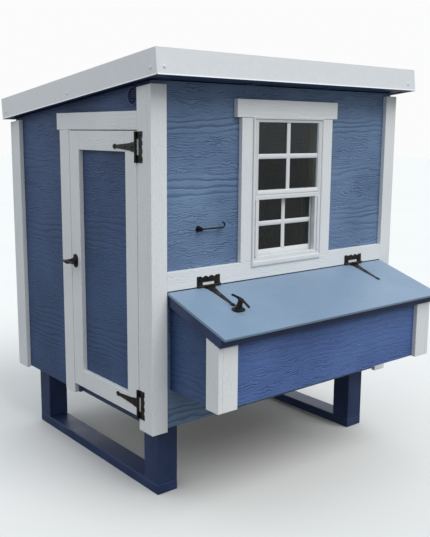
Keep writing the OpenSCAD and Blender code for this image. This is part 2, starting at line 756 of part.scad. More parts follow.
module lid_frame() house() color(shade_blue) lid_frame_at() {
    x1 = body_w - lid_frame_x;
    for (s = [-lid_frame_front, -lid_frame_back - lid_frame_w])
        block([lid_frame_x, s, -lid_stack], [x1, s + lid_frame_w, -lid_t]);
    for (x = [lid_frame_x, x1 - lid_frame_w])
        block([x, -lid_frame_front + lid_frame_w + butt, -lid_stack],
            [x + lid_frame_w, -lid_frame_back - lid_frame_w - butt, -lid_t]);
}

module lid_hinge_straps() house() color(iron_black) at_lid_hinges() hinge_strap();

module lid_screws() house() color(iron_black) {
    at_lid_hinges() strap_screws(lid_screw_len);
    at_lid_handle() rose_screws(lid_screw_len);
}

module lid_rose() house() color(iron_black) at_lid_handle() rose();

module lid_t_handle() house() color(iron_black) at_lid_handle() t_handle(lid_pawl_n + pawl_t);

module lid_pawl() house() color(iron_black) at_lid_handle() rotate([0, 0, 180])
    pawl(lid_pawl_len, lid_pawl_n);

// ---- Window ----

win_in_x0 = win_x0 + frame_side;
win_in_x1 = win_x1 - frame_side;
sill_top = win_z0 + frame_bottom;
lower_z0 = win_z0 + frame_bottom - 10;
lower_z1 = meeting_z + meeting_h / 2;

module window_frame() house() color("#e6e7e8") {
    ring(win_x0, win_x1, win_z0, win_z1, -win_proud, trim_t, frame_side, frame_bottom, frame_top);
    ring(win_x0 + 8, win_x1 - 8, win_z0 + 14, win_z1 - 3, trim_t, -win_proud + frame_depth,
        frame_side - 8, lower_z0 - win_z0 - 15, frame_top - 3);
    for (x = [win_in_x0, win_x1 - stop_side])
        block([x, -win_proud, sill_top],
            [x + stop_side - frame_side, lower_y - 4, meeting_z - meeting_h / 2]);
}

module upper_sash() house() color("#e6e7e8") {
    z0 = meeting_z - meeting_h / 2;
    z1 = win_z1 - frame_top;
    ring(win_in_x0, win_in_x1, z0, z1, upper_y - 4, upper_y + sash_t, sash_side, meeting_h, frame_top);
    muntins(win_in_x0 + sash_side, win_in_x1 - sash_side, z0 + meeting_h, z1 - frame_top,
        upper_y, upper_y + 4);
}

module upper_glass() house() color("#9fb4c0", 0.4)
    block([win_in_x0 + sash_side, upper_y + 4.2, meeting_z + meeting_h / 2],
        [win_in_x1 - sash_side, upper_y + 4.2 + glass_t, win_z1 - 2 * frame_top]);

lower_x0 = win_in_x0 + sash_gap;
lower_x1 = win_in_x1 - sash_gap;
lower_side = 22;
lower_sill = 30;

module lower_sash() house() color("#e6e7e8") {
    ring(lower_x0, lower_x1, lower_z0, lower_z1, lower_y, lower_y + sash_t,
        lower_side, lower_sill, meeting_h - 6);
    muntins(lower_x0 + lower_side, lower_x1 - lower_side, lower_z0 + lower_sill,
        lower_z1 - meeting_h + 6, lower_y + 1, lower_y + 5);
}

module lower_glass() house() color("#9fb4c0", 0.4)
    block([lower_x0 + lower_side, lower_y + 5.2, lower_z0 + lower_sill],
        [lower_x1 - lower_side, lower_y + 5.2 + glass_t, lower_z1 - meeting_h + 6]);

module window_screen() house() color("#3a3836")
    block([win_x0 + 8, -win_proud + frame_depth, win_z0 + 14],
        [win_x1 - 8, -win_proud + frame_depth + 2, meeting_z + meeting_h / 2]);

// ---- Stay hook ----

hook_axis_y = trim_t - hook_off;

module stay_hook_eye() house() color(iron_black) translate([hook_x, trim_t, hook_z]) {
    rotate([90, 0, 0]) cylinder(h = 2.5, r = 11, $fn = 40);
    rotate([90, 0, 0]) cylinder(h = hook_off - hook_r - 0.3, r = 6, $fn = 40);
    rotate([90, 0, 0]) cylinder(h = hook_off + 6, r = 3, $fn = 32);
    translate([0, -hook_off - hook_r - 0.3, 0]) rotate([90, 0, 0]) cylinder(h = 2.7, r = 5.5, $fn = 32);
    rotate([-90, 0, 0]) cylinder(h = 16, r = 2.5, $fn = 24);
}

// Round bar with an eye at the pivot and a curl that opens upwards at the end
module stay_hook() house() color(iron_black) translate([hook_x, hook_axis_y, hook_z]) rotate([90, 0, 0]) {
    difference() {
        union() {
            translate([0, 0, -hook_r]) cylinder(h = 2 * hook_r, r = 8, $fn = 40);
            translate([4, 0, 0]) rotate([0, 90, 0]) cylinder(h = hook_len - 4, r = hook_r, $fn = 32);
            translate([hook_len, curl_r, 0]) intersection() {
                rotate_extrude($fn = 48) translate([curl_r, 0]) circle(r = hook_r, $fn = 24);
                translate([0, -2 * curl_r, -10]) cube([2 * curl_r, 4 * curl_r, 20]);
            }
            translate([hook_len, 2 * curl_r, 0]) sphere(r = hook_r, $fn = 24);
        }
        translate([0, 0, -10]) cylinder(h = 20, r = 3 + running, $fn = 32);
    }
}

// ---- Hens' ramp door ----

module ramp_casing() house() color(trim_white) {
    y0 = ramp_y0 - door_gap - trim_w;
    y1 = ramp_y1 + door_gap;
    z0 = stand_h + 5;
    z1 = ramp_z1 + door_gap;
    for (y = [y0, y1]) block([right, y, z0], [body_w, y + trim_w, z1 - butt]);
    block([right, y0, z1], [body_w, y1 + trim_w, z1 + trim_w]);
    block([right, y0 + trim_w + butt, z0], [body_w, y1 - butt, ramp_z0 - door_gap]);
}

module ramp_panel() house() color(siding_blue)
    block([right, ramp_y0, ramp_z0], [body_w, ramp_y1, ramp_z1]);

module ramp_cleats() house() color(bare_pine) for (i = [0 : cleats - 1]) {
    z = pop_z0 + 40 + i * (pop_h - 80 - cleat_w) / (cleats - 1);
    block([right - cleat_t, pop_y - pop_w / 2 + 6, z], [right, pop_y + pop_w / 2 - 6, z + cleat_w]);
}

module ramp_hinge_straps() house() color(iron_black) at_ramp_hinges() hinge_strap();

module ramp_screws() house() color(iron_black) {
    at_ramp_hinges() strap_screws();
    for (y = [6, bolt_plate_l - 6]) translate([body_w, bolt_plate_y + y, bolt_z])
        rotate([0, 90, 0]) bolt_screw();
}

// Short screw at the ends of the bolt plate
module bolt_screw() {
    translate([0, 0, plate_t]) cylinder(h = 1.2, r = 3, $fn = 24);
    translate([0, 0, -screw_len]) cylinder(h = screw_len + plate_t, r = 1.6, $fn = 20);
}

guides_y = [bolt_plate_y + 14, bolt_plate_y + bolt_plate_l - 14 - guide_t];

module ramp_bolt_plate() house() color(iron_black) difference() {
    union() {
        block([body_w, bolt_plate_y, bolt_z - 15],
            [body_w + plate_t, bolt_plate_y + bolt_plate_l, bolt_z + 15]);
        for (y = guides_y)
            block([body_w, y, bolt_z - 7], [body_w + bolt_off + bolt_r + 3, y + guide_t, bolt_z + 7]);
    }
    bolt_bore(bolt_plate_y - 1, bolt_plate_l + 2);
    for (y = [6, bolt_plate_l - 6]) translate([body_w - 1, bolt_plate_y + y, bolt_z])
        rotate([0, 90, 0]) cylinder(h = plate_t + 2, r = 1.8, $fn = 24);
}

module bolt_bore(y, length) translate([body_w + bolt_off, y, bolt_z]) rotate([-90, 0, 0])
    cylinder(h = length, r = bolt_r + running, $fn = 32);

module ramp_bolt() house() color(iron_black) {
    translate([body_w + bolt_off, bolt_plate_y - 4, bolt_z]) rotate([-90, 0, 0])
        cylinder(h = bolt_plate_l + 14, r = bolt_r, $fn = 32);
    translate([body_w + bolt_off, guides_y[1] - bolt_knob_r - part_gap, bolt_z])
        rotate([0, 90, 0]) cylinder(h = 16, r = bolt_knob_r, $fn = 24);
}

// Staple that the bolt slides into, with a square opening
module ramp_bolt_keeper() house() color(iron_black) difference() {
    staple_x = body_w + bolt_off + bolt_r + keeper_gap;
    staple_z = bolt_r + keeper_gap;
    union() {
        block([body_w, keeper_y - 3, bolt_z - 15], [body_w + plate_t, keeper_y + 15, bolt_z + 15]);
        block([body_w, keeper_y + 3, bolt_z - staple_z - keeper_t],
            [staple_x + keeper_t, keeper_y + 12, bolt_z + staple_z + keeper_t]);
    }
    block([body_w + plate_t, keeper_y - 10, bolt_z - staple_z], [staple_x, keeper_y + 30, bolt_z + staple_z]);
}

module roost_bars() house() color(bare_pine) for (i = [0, 1])
    block([in_siding, roost_y[i], roost_z[i]], [body_w - in_siding, roost_y[i] + roost, roost_z[i] + roost]);

skid_plates();
legs();
floor_frame();
floor_panel();
wall_front();
wall_back();
wall_left();
wall_right();
wall_studs();
corner_boards();
nest_hinge_board();
door_casing();
window_casing();
rafters();
front_soffit();
roof_deck();
roof_sheet();
roof_edge_trim();
roof_trim_screws();
round_vents();
hinge_leaves();
hinge_pins();
hinge_leaf_screws();
door_boards();
door_panel();
door_hinge_straps();
door_screws();
door_rose();
door_t_handle();
door_pawl();
nest_floor();
nest_sides();
nest_front();
nest_dividers();
nest_corner_boards();
nest_latch_rail();
lid_panel();
lid_frame();
lid_hinge_straps();
lid_screws();
lid_rose();
lid_t_handle();
lid_pawl();
window_frame();
upper_sash();
upper_glass();
lower_sash();
lower_glass();
window_screen();
stay_hook_eye();
stay_hook();
ramp_casing();
ramp_panel();
ramp_cleats();
ramp_hinge_straps();
ramp_screws();
ramp_bolt_plate();
ramp_bolt();
ramp_bolt_keeper();
roost_bars();
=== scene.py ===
"""Looks of a raised garden chicken coop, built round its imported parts.

Timber pieces are eased copies of the frame's own boards, the hardware is forged
or pressed steel, and what repeats (screws, mesh wires, louvres, cleats) is grown
with Geometry Nodes. Lengths are metres in the frame's axes, and a
shop value in millimetres is turned by MM.
"""

import json
import logging
import math
from dataclasses import dataclass, field
from enum import Enum
from typing import Any, Sequence

import bmesh
import bpy
import numpy as np
from mathutils import Matrix, Vector


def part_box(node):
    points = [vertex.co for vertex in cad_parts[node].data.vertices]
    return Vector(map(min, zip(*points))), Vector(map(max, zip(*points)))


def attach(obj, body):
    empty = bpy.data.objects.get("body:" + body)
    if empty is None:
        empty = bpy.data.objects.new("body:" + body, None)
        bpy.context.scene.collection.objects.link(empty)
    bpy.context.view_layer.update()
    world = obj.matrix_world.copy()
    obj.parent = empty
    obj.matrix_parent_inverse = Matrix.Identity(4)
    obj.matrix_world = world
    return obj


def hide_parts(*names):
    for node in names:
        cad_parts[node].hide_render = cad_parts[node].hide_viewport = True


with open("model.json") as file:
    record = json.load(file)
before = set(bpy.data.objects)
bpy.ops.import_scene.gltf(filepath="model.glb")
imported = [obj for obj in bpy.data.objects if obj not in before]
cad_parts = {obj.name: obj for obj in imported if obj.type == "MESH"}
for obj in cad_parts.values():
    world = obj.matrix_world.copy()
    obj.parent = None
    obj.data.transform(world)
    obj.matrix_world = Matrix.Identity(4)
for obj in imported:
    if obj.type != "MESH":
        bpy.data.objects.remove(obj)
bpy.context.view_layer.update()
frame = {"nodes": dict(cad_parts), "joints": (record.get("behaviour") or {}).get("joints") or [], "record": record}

MM = 0.001
LOG = logging.getLogger("coop")
Point = tuple[float, float]


class Run(Enum):
    """The frame axis that a board's grain follows."""

    X = "X"
    Y = "Y"
    Z = "Z"


class ScrewHead(Enum):
    """The screw heads used on the coop."""

    PAN = "cross-recess pan head"
    HEX = "hex head on a washer"


# ---- Small tools ----


def linear(code: str) -> tuple[float, float, float, float]:
    """Turn an sRGB hex colour into the linear colour that shaders use.

    Args:
        code: Colour as #rrggbb.

    Returns:
        Linear red, green, blue and full alpha.
    """
    parts = [int(code[i:i + 2], 16) / 255 for i in (1, 3, 5)]
    red, green, blue = (c / 12.92 if c <= 0.04045 else ((c + 0.055) / 1.055) ** 2.4 for c in parts)
    return red, green, blue, 1.0


def add_node(tree: bpy.types.NodeTree, kind: str, inputs: dict[Any, Any] | None = None,
             **settings: Any) -> bpy.types.Node:
    """Add one node with its settings, values and links.

    Args:
        tree: Tree that the node goes into.
        kind: Blender's name for the node type.
        inputs: Input name or index to a value, or to the socket that feeds it.
        **settings: Node properties to set first.

    Returns:
        The new node.
    """
    node = tree.nodes.new(kind)
    for name, value in settings.items():
        setattr(node, name, value)
    for key, value in (inputs or {}).items():
        if isinstance(value, bpy.types.NodeSocket):
            tree.links.new(value, node.inputs[key])
        else:
            node.inputs[key].default_value = value
    return node


def grain_space(tree: bpy.types.NodeTree, run: Run, along: float, across: float) -> bpy.types.NodeSocket:
    """Object coordinates, counted in pattern lengths along and across a board.

    Args:
        tree: Material tree.
        run: Axis that the grain follows.
        along: Length of one mark along the grain.
        across: Width of one mark across the grain.

    Returns:
        A vector socket with the two counts in X and Y.
    """
    place = add_node(tree, "ShaderNodeTexCoord").outputs["Object"]
    parts = add_node(tree, "ShaderNodeSeparateXYZ", {0: place}).outputs
    first, second = (parts[axis] for axis in "XYZ" if axis != run.value)
    width = add_node(tree, "ShaderNodeMath", {0: first, 1: second}, operation="ADD").outputs[0]
    joined = add_node(tree, "ShaderNodeCombineXYZ", {"X": parts[run.value], "Y": width}).outputs[0]
    return add_node(tree, "ShaderNodeVectorMath", {0: joined, 1: (1 / along, 1 / across, 1)},
                    operation="MULTIPLY").outputs[0]


def speckle(tree: bpy.types.NodeTree, size: float, detail: float = 2.0) -> bpy.types.NodeSocket:
    """Even noise whose blotches are about the given size.

    Args:
        tree: Material tree.
        size: Distance between blotches.
        detail: Octaves of finer noise.

    Returns:
        The noise value, 0 to 1.
    """
    place = add_node(tree, "ShaderNodeTexCoord").outputs["Object"]
    noise = add_node(tree, "ShaderNodeTexNoise", {"Vector": place, "Scale": 1 / size, "Detail": detail})
    return noise.outputs[0]


# ---- Finishes ----


@dataclass(frozen=True)
class Finish:
    """One real finish: its name, the record's slot and the values it starts from."""

    name: str
    slot: str
    colour: str
    shade: str
    roughness: float

    def material(self, run: Run = Run.X) -> bpy.types.Material:
        """Build the material once for each grain direction.

        Args:
            run: Axis that the grain follows.

        Returns:
            The material, shared by every piece with the same grain.
        """
        key = f"{self.name}_{run.value}"
        found = bpy.data.materials.get(key)
        if found:
            return found
        material = bpy.data.materials.new(key)
        material.use_nodes = True
        tree = material.node_tree
        tree.nodes.clear()
        shader = add_node(tree, "ShaderNodeBsdfPrincipled", {"Roughness": self.roughness})
        add_node(tree, "ShaderNodeOutputMaterial", {"Surface": shader.outputs[0]})
        self.dress(tree, shader, run)
        material.diffuse_color = linear(self.colour)
        return material

    def dress(self, tree: bpy.types.NodeTree, shader: bpy.types.Node, run: Run) -> None:
        """Link this finish's pattern to the shader."""
        raise NotImplementedError

    def paint(self, tree: bpy.types.NodeTree, shader: bpy.types.Node, amount: bpy.types.NodeSocket) -> None:
        """Mix the shade and the colour by an amount, as the shader's base colour."""
        mixed = add_node(tree, "ShaderNodeMix", {0: amount, 6: linear(self.shade), 7: linear(self.colour)},
                         data_type="RGBA").outputs[2]
        tree.links.new(mixed, shader.inputs["Base Color"])

    def emboss(self, tree: bpy.types.NodeTree, shader: bpy.types.Node, height: bpy.types.NodeSocket,
               relief: float) -> None:
        """Raise the surface by a height of 0 to 1 times the relief."""
        bump = add_node(tree, "ShaderNodeBump", {"Height": height, "Distance": relief, "Strength": 1.0})
        tree.links.new(bump.outputs[0], shader.inputs["Normal"])

    def vary_gloss(self, tree: bpy.types.NodeTree, shader: bpy.types.Node, amount: bpy.types.NodeSocket,
                   spread: float) -> None:
        """Spread the roughness either side of its value by an amount of 0 to 1."""
        rough = add_node(tree, "ShaderNodeMapRange", {0: amount, 3: self.roughness - spread,
                                                      4: self.roughness + spread}).outputs[0]
        tree.links.new(rough, shader.inputs["Roughness"])


@dataclass(frozen=True)
class EmbossedBoard(Finish):
    """Engineered wood pressed with a cedar grain and painted.

    Short wavy creases cover it, and bands of long ring lines cross it here and
    there. The creases are painted darker as painted shade, so the boards look finely streaked.
    """

    relief: float = 1.0 * MM
    fibre_length: float = 60 * MM
    fibre_pitch: float = 10 * MM
    ring_pitch: float = 23 * MM
    ring_share: float = 0.85
    painted_crease_shade: float = 0.55

    def dress(self, tree: bpy.types.NodeTree, shader: bpy.types.Node, run: Run) -> None:
        """Link creases, ring bands, paint variation and painted shade in the creases to the shader.

        Args:
            tree: Material tree.
            shader: Shader that the pattern is linked to.
            run: Axis that the grain follows.
        """
        shader.inputs["Specular IOR Level"].default_value = 0.35
        fine = self.lines(tree, run, self.fibre_pitch, (self.fibre_length, 2.6 * self.fibre_pitch), 4.0)
        fade = add_node(tree, "ShaderNodeTexNoise", {
            "Vector": grain_space(tree, run, 1.6 * self.fibre_length, 2.6 * self.fibre_pitch), "Scale": 1.0,
            "Detail": 3.0}).outputs[0]
        kept = add_node(tree, "ShaderNodeMapRange", {0: fade, 1: 0.36, 2: 0.64}).outputs[0]
        marks = add_node(tree, "ShaderNodeMix", {0: kept, 2: 0.75, 3: fine}, data_type="FLOAT").outputs[0]
        rings = self.lines(tree, run, self.ring_pitch, (0.36, 0.12), 4.2)
        patch = add_node(tree, "ShaderNodeTexNoise", {
            "Vector": grain_space(tree, run, 2.4, 0.2), "Scale": 1.0, "Detail": 1.0}).outputs[0]
        share = add_node(tree, "ShaderNodeMapRange", {0: patch, 1: 0.5, 2: 0.6, 3: 0.0,
                                                      4: self.ring_share}).outputs[0]
        height = add_node(tree, "ShaderNodeMix", {0: share, 2: marks, 3: rings}, data_type="FLOAT").outputs[0]
        grit = add_node(tree, "ShaderNodeMath", {0: speckle(tree, 7 * MM, 2.0), 1: 0.9},
                        operation="MULTIPLY").outputs[0]
        whole = add_node(tree, "ShaderNodeMath", {0: height, 1: grit}, operation="ADD").outputs[0]
        self.emboss(tree, shader, whole, self.relief)
        # Painted shade: the base colour goes towards the darker colour in the creases and ring lines, mixed with a
        # random cloud of tone.
        cloud = add_node(tree, "ShaderNodeMapRange", {0: speckle(tree, 0.28, 3.0), 1: 0.3, 2: 0.7}).outputs[0]
        tone = add_node(tree, "ShaderNodeMix", {0: self.painted_crease_shade, 2: cloud, 3: height},
                        data_type="FLOAT").outputs[0]
        self.paint(tree, shader, tone)
        self.vary_gloss(tree, shader, height, -0.06)

    def lines(self, tree: bpy.types.NodeTree, run: Run, pitch: float, sway_size: Point,
              swing: float) -> bpy.types.NodeSocket:
        """Wandering steps across the grain that climb slowly and drop in a narrow crease.

        Args:
            tree: Material tree.
            run: Axis that the grain follows.
            pitch: Distance from crease to crease.
            sway_size: Length and width over which the lines wander.
            swing: Number of pitches that they wander by.

        Returns:
            The height, 0 in the crease and 1 at the crest.
        """
        noise = add_node(tree, "ShaderNodeTexNoise", {
            "Vector": grain_space(tree, run, *sway_size), "Scale": 1.0, "Detail": 3.0,
            "Roughness": 0.5}).outputs[0]
        sway = add_node(tree, "ShaderNodeMath", {0: noise, 1: swing}, operation="MULTIPLY").outputs[0]
        count = add_node(tree, "ShaderNodeSeparateXYZ", {0: grain_space(tree, run, 1.0, pitch)}).outputs["Y"]
        phase = add_node(tree, "ShaderNodeMath", {0: count, 1: sway}, operation="ADD").outputs[0]
        part = add_node(tree, "ShaderNodeMath", {0: phase}, operation="FRACT").outputs[0]
        climb = add_node(tree, "ShaderNodeMapRange", {0: part, 1: 0.0, 2: 0.4}).outputs[0]
        drop = add_node(tree, "ShaderNodeMapRange", {0: part, 1: 1.0, 2: 0.8}).outputs[0]
        return add_node(tree, "ShaderNodeMath", {0: climb, 1: drop}, operation="MULTIPLY").outputs[0]


@dataclass(frozen=True)
class PaintedLumber(Finish):
    """Planed construction timber under satin paint: soft long grain and a sheen."""

    relief: float = 0.35 * MM

    def dress(self, tree: bpy.types.NodeTree, shader: bpy.types.Node, run: Run) -> None:
        """Link long grain, a few knots' swirl and paint variation to the shader.

        Args:
            tree: Material tree.
            shader: Shader that the pattern is linked to.
            run: Axis that the grain follows.
        """
        shader.inputs["Specular IOR Level"].default_value = 0.4
        grain = add_node(tree, "ShaderNodeTexNoise", {
            "Vector": grain_space(tree, run, 0.24, 5 * MM), "Scale": 1.0, "Detail": 4.0,
            "Distortion": 0.9}).outputs[0]
        cloud = add_node(tree, "ShaderNodeMapRange", {0: speckle(tree, 0.09, 3.0), 1: 0.3, 2: 0.7}).outputs[0]
        tone = add_node(tree, "ShaderNodeMix", {0: 0.5, 2: grain, 3: cloud}, data_type="FLOAT").outputs[0]
        self.paint(tree, shader, tone)
        self.emboss(tree, shader, grain, self.relief)
        self.vary_gloss(tree, shader, cloud, 0.07)


@dataclass(frozen=True)
class SawnPine(Finish):
    """Bare sawn pine and plywood: warm rings, darker late wood and saw marks."""

    ring_pitch: float = 7 * MM

    def dress(self, tree: bpy.types.NodeTree, shader: bpy.types.Node, run: Run) -> None:
        """Link growth rings and saw marks to the shader.

        Args:
            tree: Material tree.
            shader: Shader that the pattern is linked to.
            run: Axis that the grain follows.
        """
        sway = add_node(tree, "ShaderNodeTexNoise", {
            "Vector": grain_space(tree, run, 0.5, 0.06), "Scale": 1.0, "Detail": 2.0}).outputs[0]
        swing = add_node(tree, "ShaderNodeMath", {0: sway, 1: 9.0}, operation="MULTIPLY").outputs[0]
        count = add_node(tree, "ShaderNodeSeparateXYZ",
                         {0: grain_space(tree, run, 1.0, self.ring_pitch)}).outputs["Y"]
        phase = add_node(tree, "ShaderNodeMath", {0: count, 1: swing}, operation="ADD").outputs[0]
        saw = add_node(tree, "ShaderNodeMath", {0: phase}, operation="FRACT").outputs[0]
        late = add_node(tree, "ShaderNodeMapRange", {0: saw, 1: 1.0, 2: 0.35}).outputs[0]
        fibre = add_node(tree, "ShaderNodeTexNoise", {
            "Vector": grain_space(tree, run, 0.05, 1.2 * MM), "Scale": 1.0, "Detail": 2.0}).outputs[0]
        tone = add_node(tree, "ShaderNodeMix", {0: 0.4, 2: late, 3: fibre}, data_type="FLOAT").outputs[0]
        self.paint(tree, shader, tone)
        self.emboss(tree, shader, fibre, 0.3 * MM)
        self.vary_gloss(tree, shader, fibre, 0.08)


@dataclass(frozen=True)
class CoatedSteel(Finish):
    """Steel with a factory or powder coat: an even skin with a fine orange peel.

    The coat's peel blurs its highlights, and slow waves in a folded sheet bend
    long reflections.
    """

    peel_pitch: float = 1.6 * MM
    peel_relief: float = 0.03 * MM
    wave_relief: float = 0.0
    wear_and_glint: float = 0.5
    shine: float = 0.5

    def dress(self, tree: bpy.types.NodeTree, shader: bpy.types.Node, run: Run) -> None:
        """Link the peel, the sheet's waves and patchy tones to the shader; on the black coat the lighter patches
        are painted glints as well as rubbed wear.

        Args:
            tree: Material tree.
            shader: Shader that the pattern is linked to.
            run: Not used.
        """
        shader.inputs["Specular IOR Level"].default_value = self.shine
        # Random patchy tone towards the second colour; on the black coat its lighter patches are painted glints as
        # well as wear.
        wear_and_painted_glints = add_node(tree, "ShaderNodeMapRange", {0: speckle(tree, 24 * MM, 5.0), 1: 0.62, 2: 0.4,
                                                       3: 1.0 - self.wear_and_glint, 4: 1.0}).outputs[0]
        self.paint(tree, shader, wear_and_painted_glints)
        self.vary_gloss(tree, shader, wear_and_painted_glints, 0.06)
        peel = add_node(tree, "ShaderNodeMath", {0: speckle(tree, self.peel_pitch), 1: self.peel_relief},
                        operation="MULTIPLY").outputs[0]
        wave = add_node(tree, "ShaderNodeMath", {0: speckle(tree, 0.16, 1.0), 1: self.wave_relief},
                        operation="MULTIPLY").outputs[0]
        both = add_node(tree, "ShaderNodeMath", {0: peel, 1: wave}, operation="ADD").outputs[0]
        self.emboss(tree, shader, both, 1.0)


@dataclass(frozen=True)
class MouldedVinyl(Finish):
    """Extruded or moulded vinyl: smooth, slightly soft gloss with faint die lines."""

    def dress(self, tree: bpy.types.NodeTree, shader: bpy.types.Node, run: Run) -> None:
        """Link faint clouding and die lines to the shader.

        Args:
            tree: Material tree.
            shader: Shader that the pattern is linked to.
            run: Axis that the grain follows.
        """
        self.paint(tree, shader, speckle(tree, 0.05, 3.0))
        lines = add_node(tree, "ShaderNodeTexNoise", {
            "Vector": grain_space(tree, run, 0.3, 2.5 * MM), "Scale": 1.0}).outputs[0]
        self.emboss(tree, shader, lines, 0.04 * MM)
        self.vary_gloss(tree, shader, lines, 0.05)


@dataclass(frozen=True)
class FloatGlass(Finish):
    """Clear float glass: sharp reflections over the dark inside, a hint of green."""

    def dress(self, tree: bpy.types.NodeTree, shader: bpy.types.Node, run: Run) -> None:
        """Make the shader clear, with a trace of dust that dulls the gloss.

        Args:
            tree: Material tree.
            shader: Shader that the pattern is linked to.
            run: Not used.
        """
        shader.inputs["Transmission Weight"].default_value = 1.0
        shader.inputs["IOR"].default_value = 1.5
        self.paint(tree, shader, speckle(tree, 0.07, 3.0))
        self.vary_gloss(tree, shader, speckle(tree, 0.03, 4.0), 0.02)


@dataclass(frozen=True)
class StudioPaper(Finish):
    """Matt paper floor, almost even.

    It looks pale but sends little light back up, as turf would, so that the
    eaves and the underside keep their deep shade.
    """

    cast: float = 0.24

    def dress(self, tree: bpy.types.NodeTree, shader: bpy.types.Node, run: Run) -> None:
        """Link a very faint clouding to the shader, dimmed for the light that it sends back.

        Args:
            tree: Material tree.
            shader: Shader that the pattern is linked to.
            run: Not used.
        """
        looked_at = add_node(tree, "ShaderNodeLightPath").outputs["Is Camera Ray"]
        share = add_node(tree, "ShaderNodeMapRange", {0: looked_at, 3: self.cast, 4: 1.0}).outputs[0]
        cloud = add_node(tree, "ShaderNodeMix", {0: speckle(tree, 0.9, 2.0), 6: linear(self.shade),
                                                 7: linear(self.colour)}, data_type="RGBA").outputs[2]
        dimmed = add_node(tree, "ShaderNodeMix", {0: share, 6: linear("#000000"), 7: cloud},
                          data_type="RGBA").outputs[2]
        tree.links.new(dimmed, shader.inputs["Base Color"])
        self.emboss(tree, shader, speckle(tree, 4 * MM), 0.05 * MM)


# Satin blue over pressed cedar grain: the streaky blue of the front wall, painted lighter than the other walls as
# a painted sheen.
FRONT_SIDING_PAINTED_SHEEN = EmbossedBoard("front_blue_painted_sheen", "siding_blue", "#718aa9", "#3d5273", 0.5, relief=1.7 * MM,
                       ring_share=1.0, painted_crease_shade=0.55)
# The same blue on the side walls and door, painted darker than the front wall's as a painted shade, with less
# sheen.
SHADED_SIDE_SIDING = EmbossedBoard("side_blue_painted_shade", "siding_blue", "#415982", "#263653", 0.56, relief=1.3 * MM,
                            ring_share=0.6, painted_crease_shade=0.5)
# The nest box's sheet, painted a darker, stronger blue as a painted shade under the lid.
SHADED_NEST_SIDING = EmbossedBoard("nest_blue_painted_shade", "siding_blue", "#5873a8", "#33477a", 0.52, relief=1.5 * MM,
                            ring_share=0.3, painted_crease_shade=0.5)
# The same sheet on the lid, laid smooth side up so it shines evenly under the sky, and painted a paler blue than
# the walls as a painted sheen.
LID_BOARD_PAINTED_SHEEN = EmbossedBoard("lid_blue_painted_sheen", "lid_blue", "#8197ad", "#73889f", 0.42, relief=0.2 * MM,
                          ring_share=0.4, painted_crease_shade=0.4)
# White satin over pressed grain: fine wandering creases in a bright, chalky board.
TRIM = EmbossedBoard("trim_white_paint", "trim_white", "#e3e4e4", "#d2d5d7", 0.46, relief=0.55 * MM,
                     fibre_length=50 * MM, fibre_pitch=11 * MM, ring_pitch=16 * MM, ring_share=0.6,
                     painted_crease_shade=0.55)
# Navy satin over planed posts and plates.
LUMBER = PaintedLumber("stand_navy_paint", "stand_navy", "#34456c", "#1f2c4a", 0.36)
# Bare softwood inside.
PINE = SawnPine("bare_pine", "bare_pine", "#dcbf90", "#b58d5b", 0.65)
# White factory coat on folded steel: clean, with slow waves in the reflection.
ROOF_STEEL = CoatedSteel("metal_white_coat", "metal_white", "#dadcde", "#cfd2d5", 0.3,
                         wave_relief=0.3 * MM, wear_and_glint=0.25)
# The ribbed sheet on top, a darker copy of the white coat: painted shade, so that its ribs read under the open
# sky.
SHADED_SHEET_STEEL = CoatedSteel("sheet_white_painted_shade", "metal_white", "#b4b8bc", "#a3a7ab", 0.42,
                          wave_relief=0.8 * MM, wear_and_glint=0.6)
# Black powder coat on pressed steel, with warm grey patches that are partly rubbed wear and partly painted glints.
IRON = CoatedSteel("iron_black_powder", "iron_black", "#0a0908", "#332b25", 0.34,
                   peel_pitch=1.2 * MM, peel_relief=0.05 * MM, wear_and_glint=0.6, shine=0.3)
# White window vinyl.
VINYL = MouldedVinyl("vinyl_white", "vinyl_white", "#dfe0e0", "#d2d4d6", 0.36)
# Moulded vent, sprayed with the walls.
VENT = MouldedVinyl("vent_blue_paint", "vent_blue", "#3f5379", "#2e3f62", 0.48)
# Coated glass fibre of the insect mesh.
FIBRE = MouldedVinyl("screen_fibre", "screen_mesh", "#2b2623", "#201c1a", 0.7)
GLASS = FloatGlass("clear_glass", "clear_glass", "#cfd6d3", "#c2cac6", 0.03)
PAPER = StudioPaper("studio_paper", "", "#d9d9d7", "#d5d5d3", 0.85)


# ---- Workshop ----


@dataclass(frozen=True)
class Bench:
    """A local working frame: a point and three directions, with sizes in millimetres."""

    origin: Vector
    x: Vector
    y: Vector
    z: Vector

    def matrix(self) -> Matrix:
        """Turn bench millimetres into frame metres."""
        turned = Matrix((self.x, self.y, self.z)).transposed().to_4x4()
        return Matrix.Translation(self.origin) @ turned @ Matrix.Scale(MM, 4)


@dataclass(frozen=True)
class Seat:
    """Where a screw head sits, which way it faces and its widest radius."""

    place: Vector
    facing: Vector
    radius: float


def loose_parts(bm: bmesh.types.BMesh) -> list[list[bmesh.types.BMVert]]:
    """Sort a mesh's vertices into its separate solids.

    Args:
        bm: Mesh whose doubles are merged.

    Returns:
        One list of vertices for each solid.
    """
    seen: set[int] = set()
    parts = []
    for start in bm.verts:
        if start.index in seen:
            continue
        seen.add(start.index)
        part, queue = [], [start]
        while queue:
            vert = queue.pop()
            part.append(vert)
            for edge in vert.link_edges:
                other = edge.other_vert(vert)
                if other.index not in seen:
                    seen.add(other.index)
                    queue.append(other)
        parts.append(part)
    return parts


def merged_copy(node: str) -> bmesh.types.BMesh:
    """Copy a frame node's mesh with its doubles merged.

    Args:
        node: Name of the frame node.

    Returns:
        A new bmesh, to be freed by the caller.
    """
    bm = bmesh.new()
    bm.from_mesh(frame["nodes"][node].data)
    bmesh.ops.remove_doubles(bm, verts=bm.verts, dist=1e-6)
    bm.verts.index_update()
    return bm


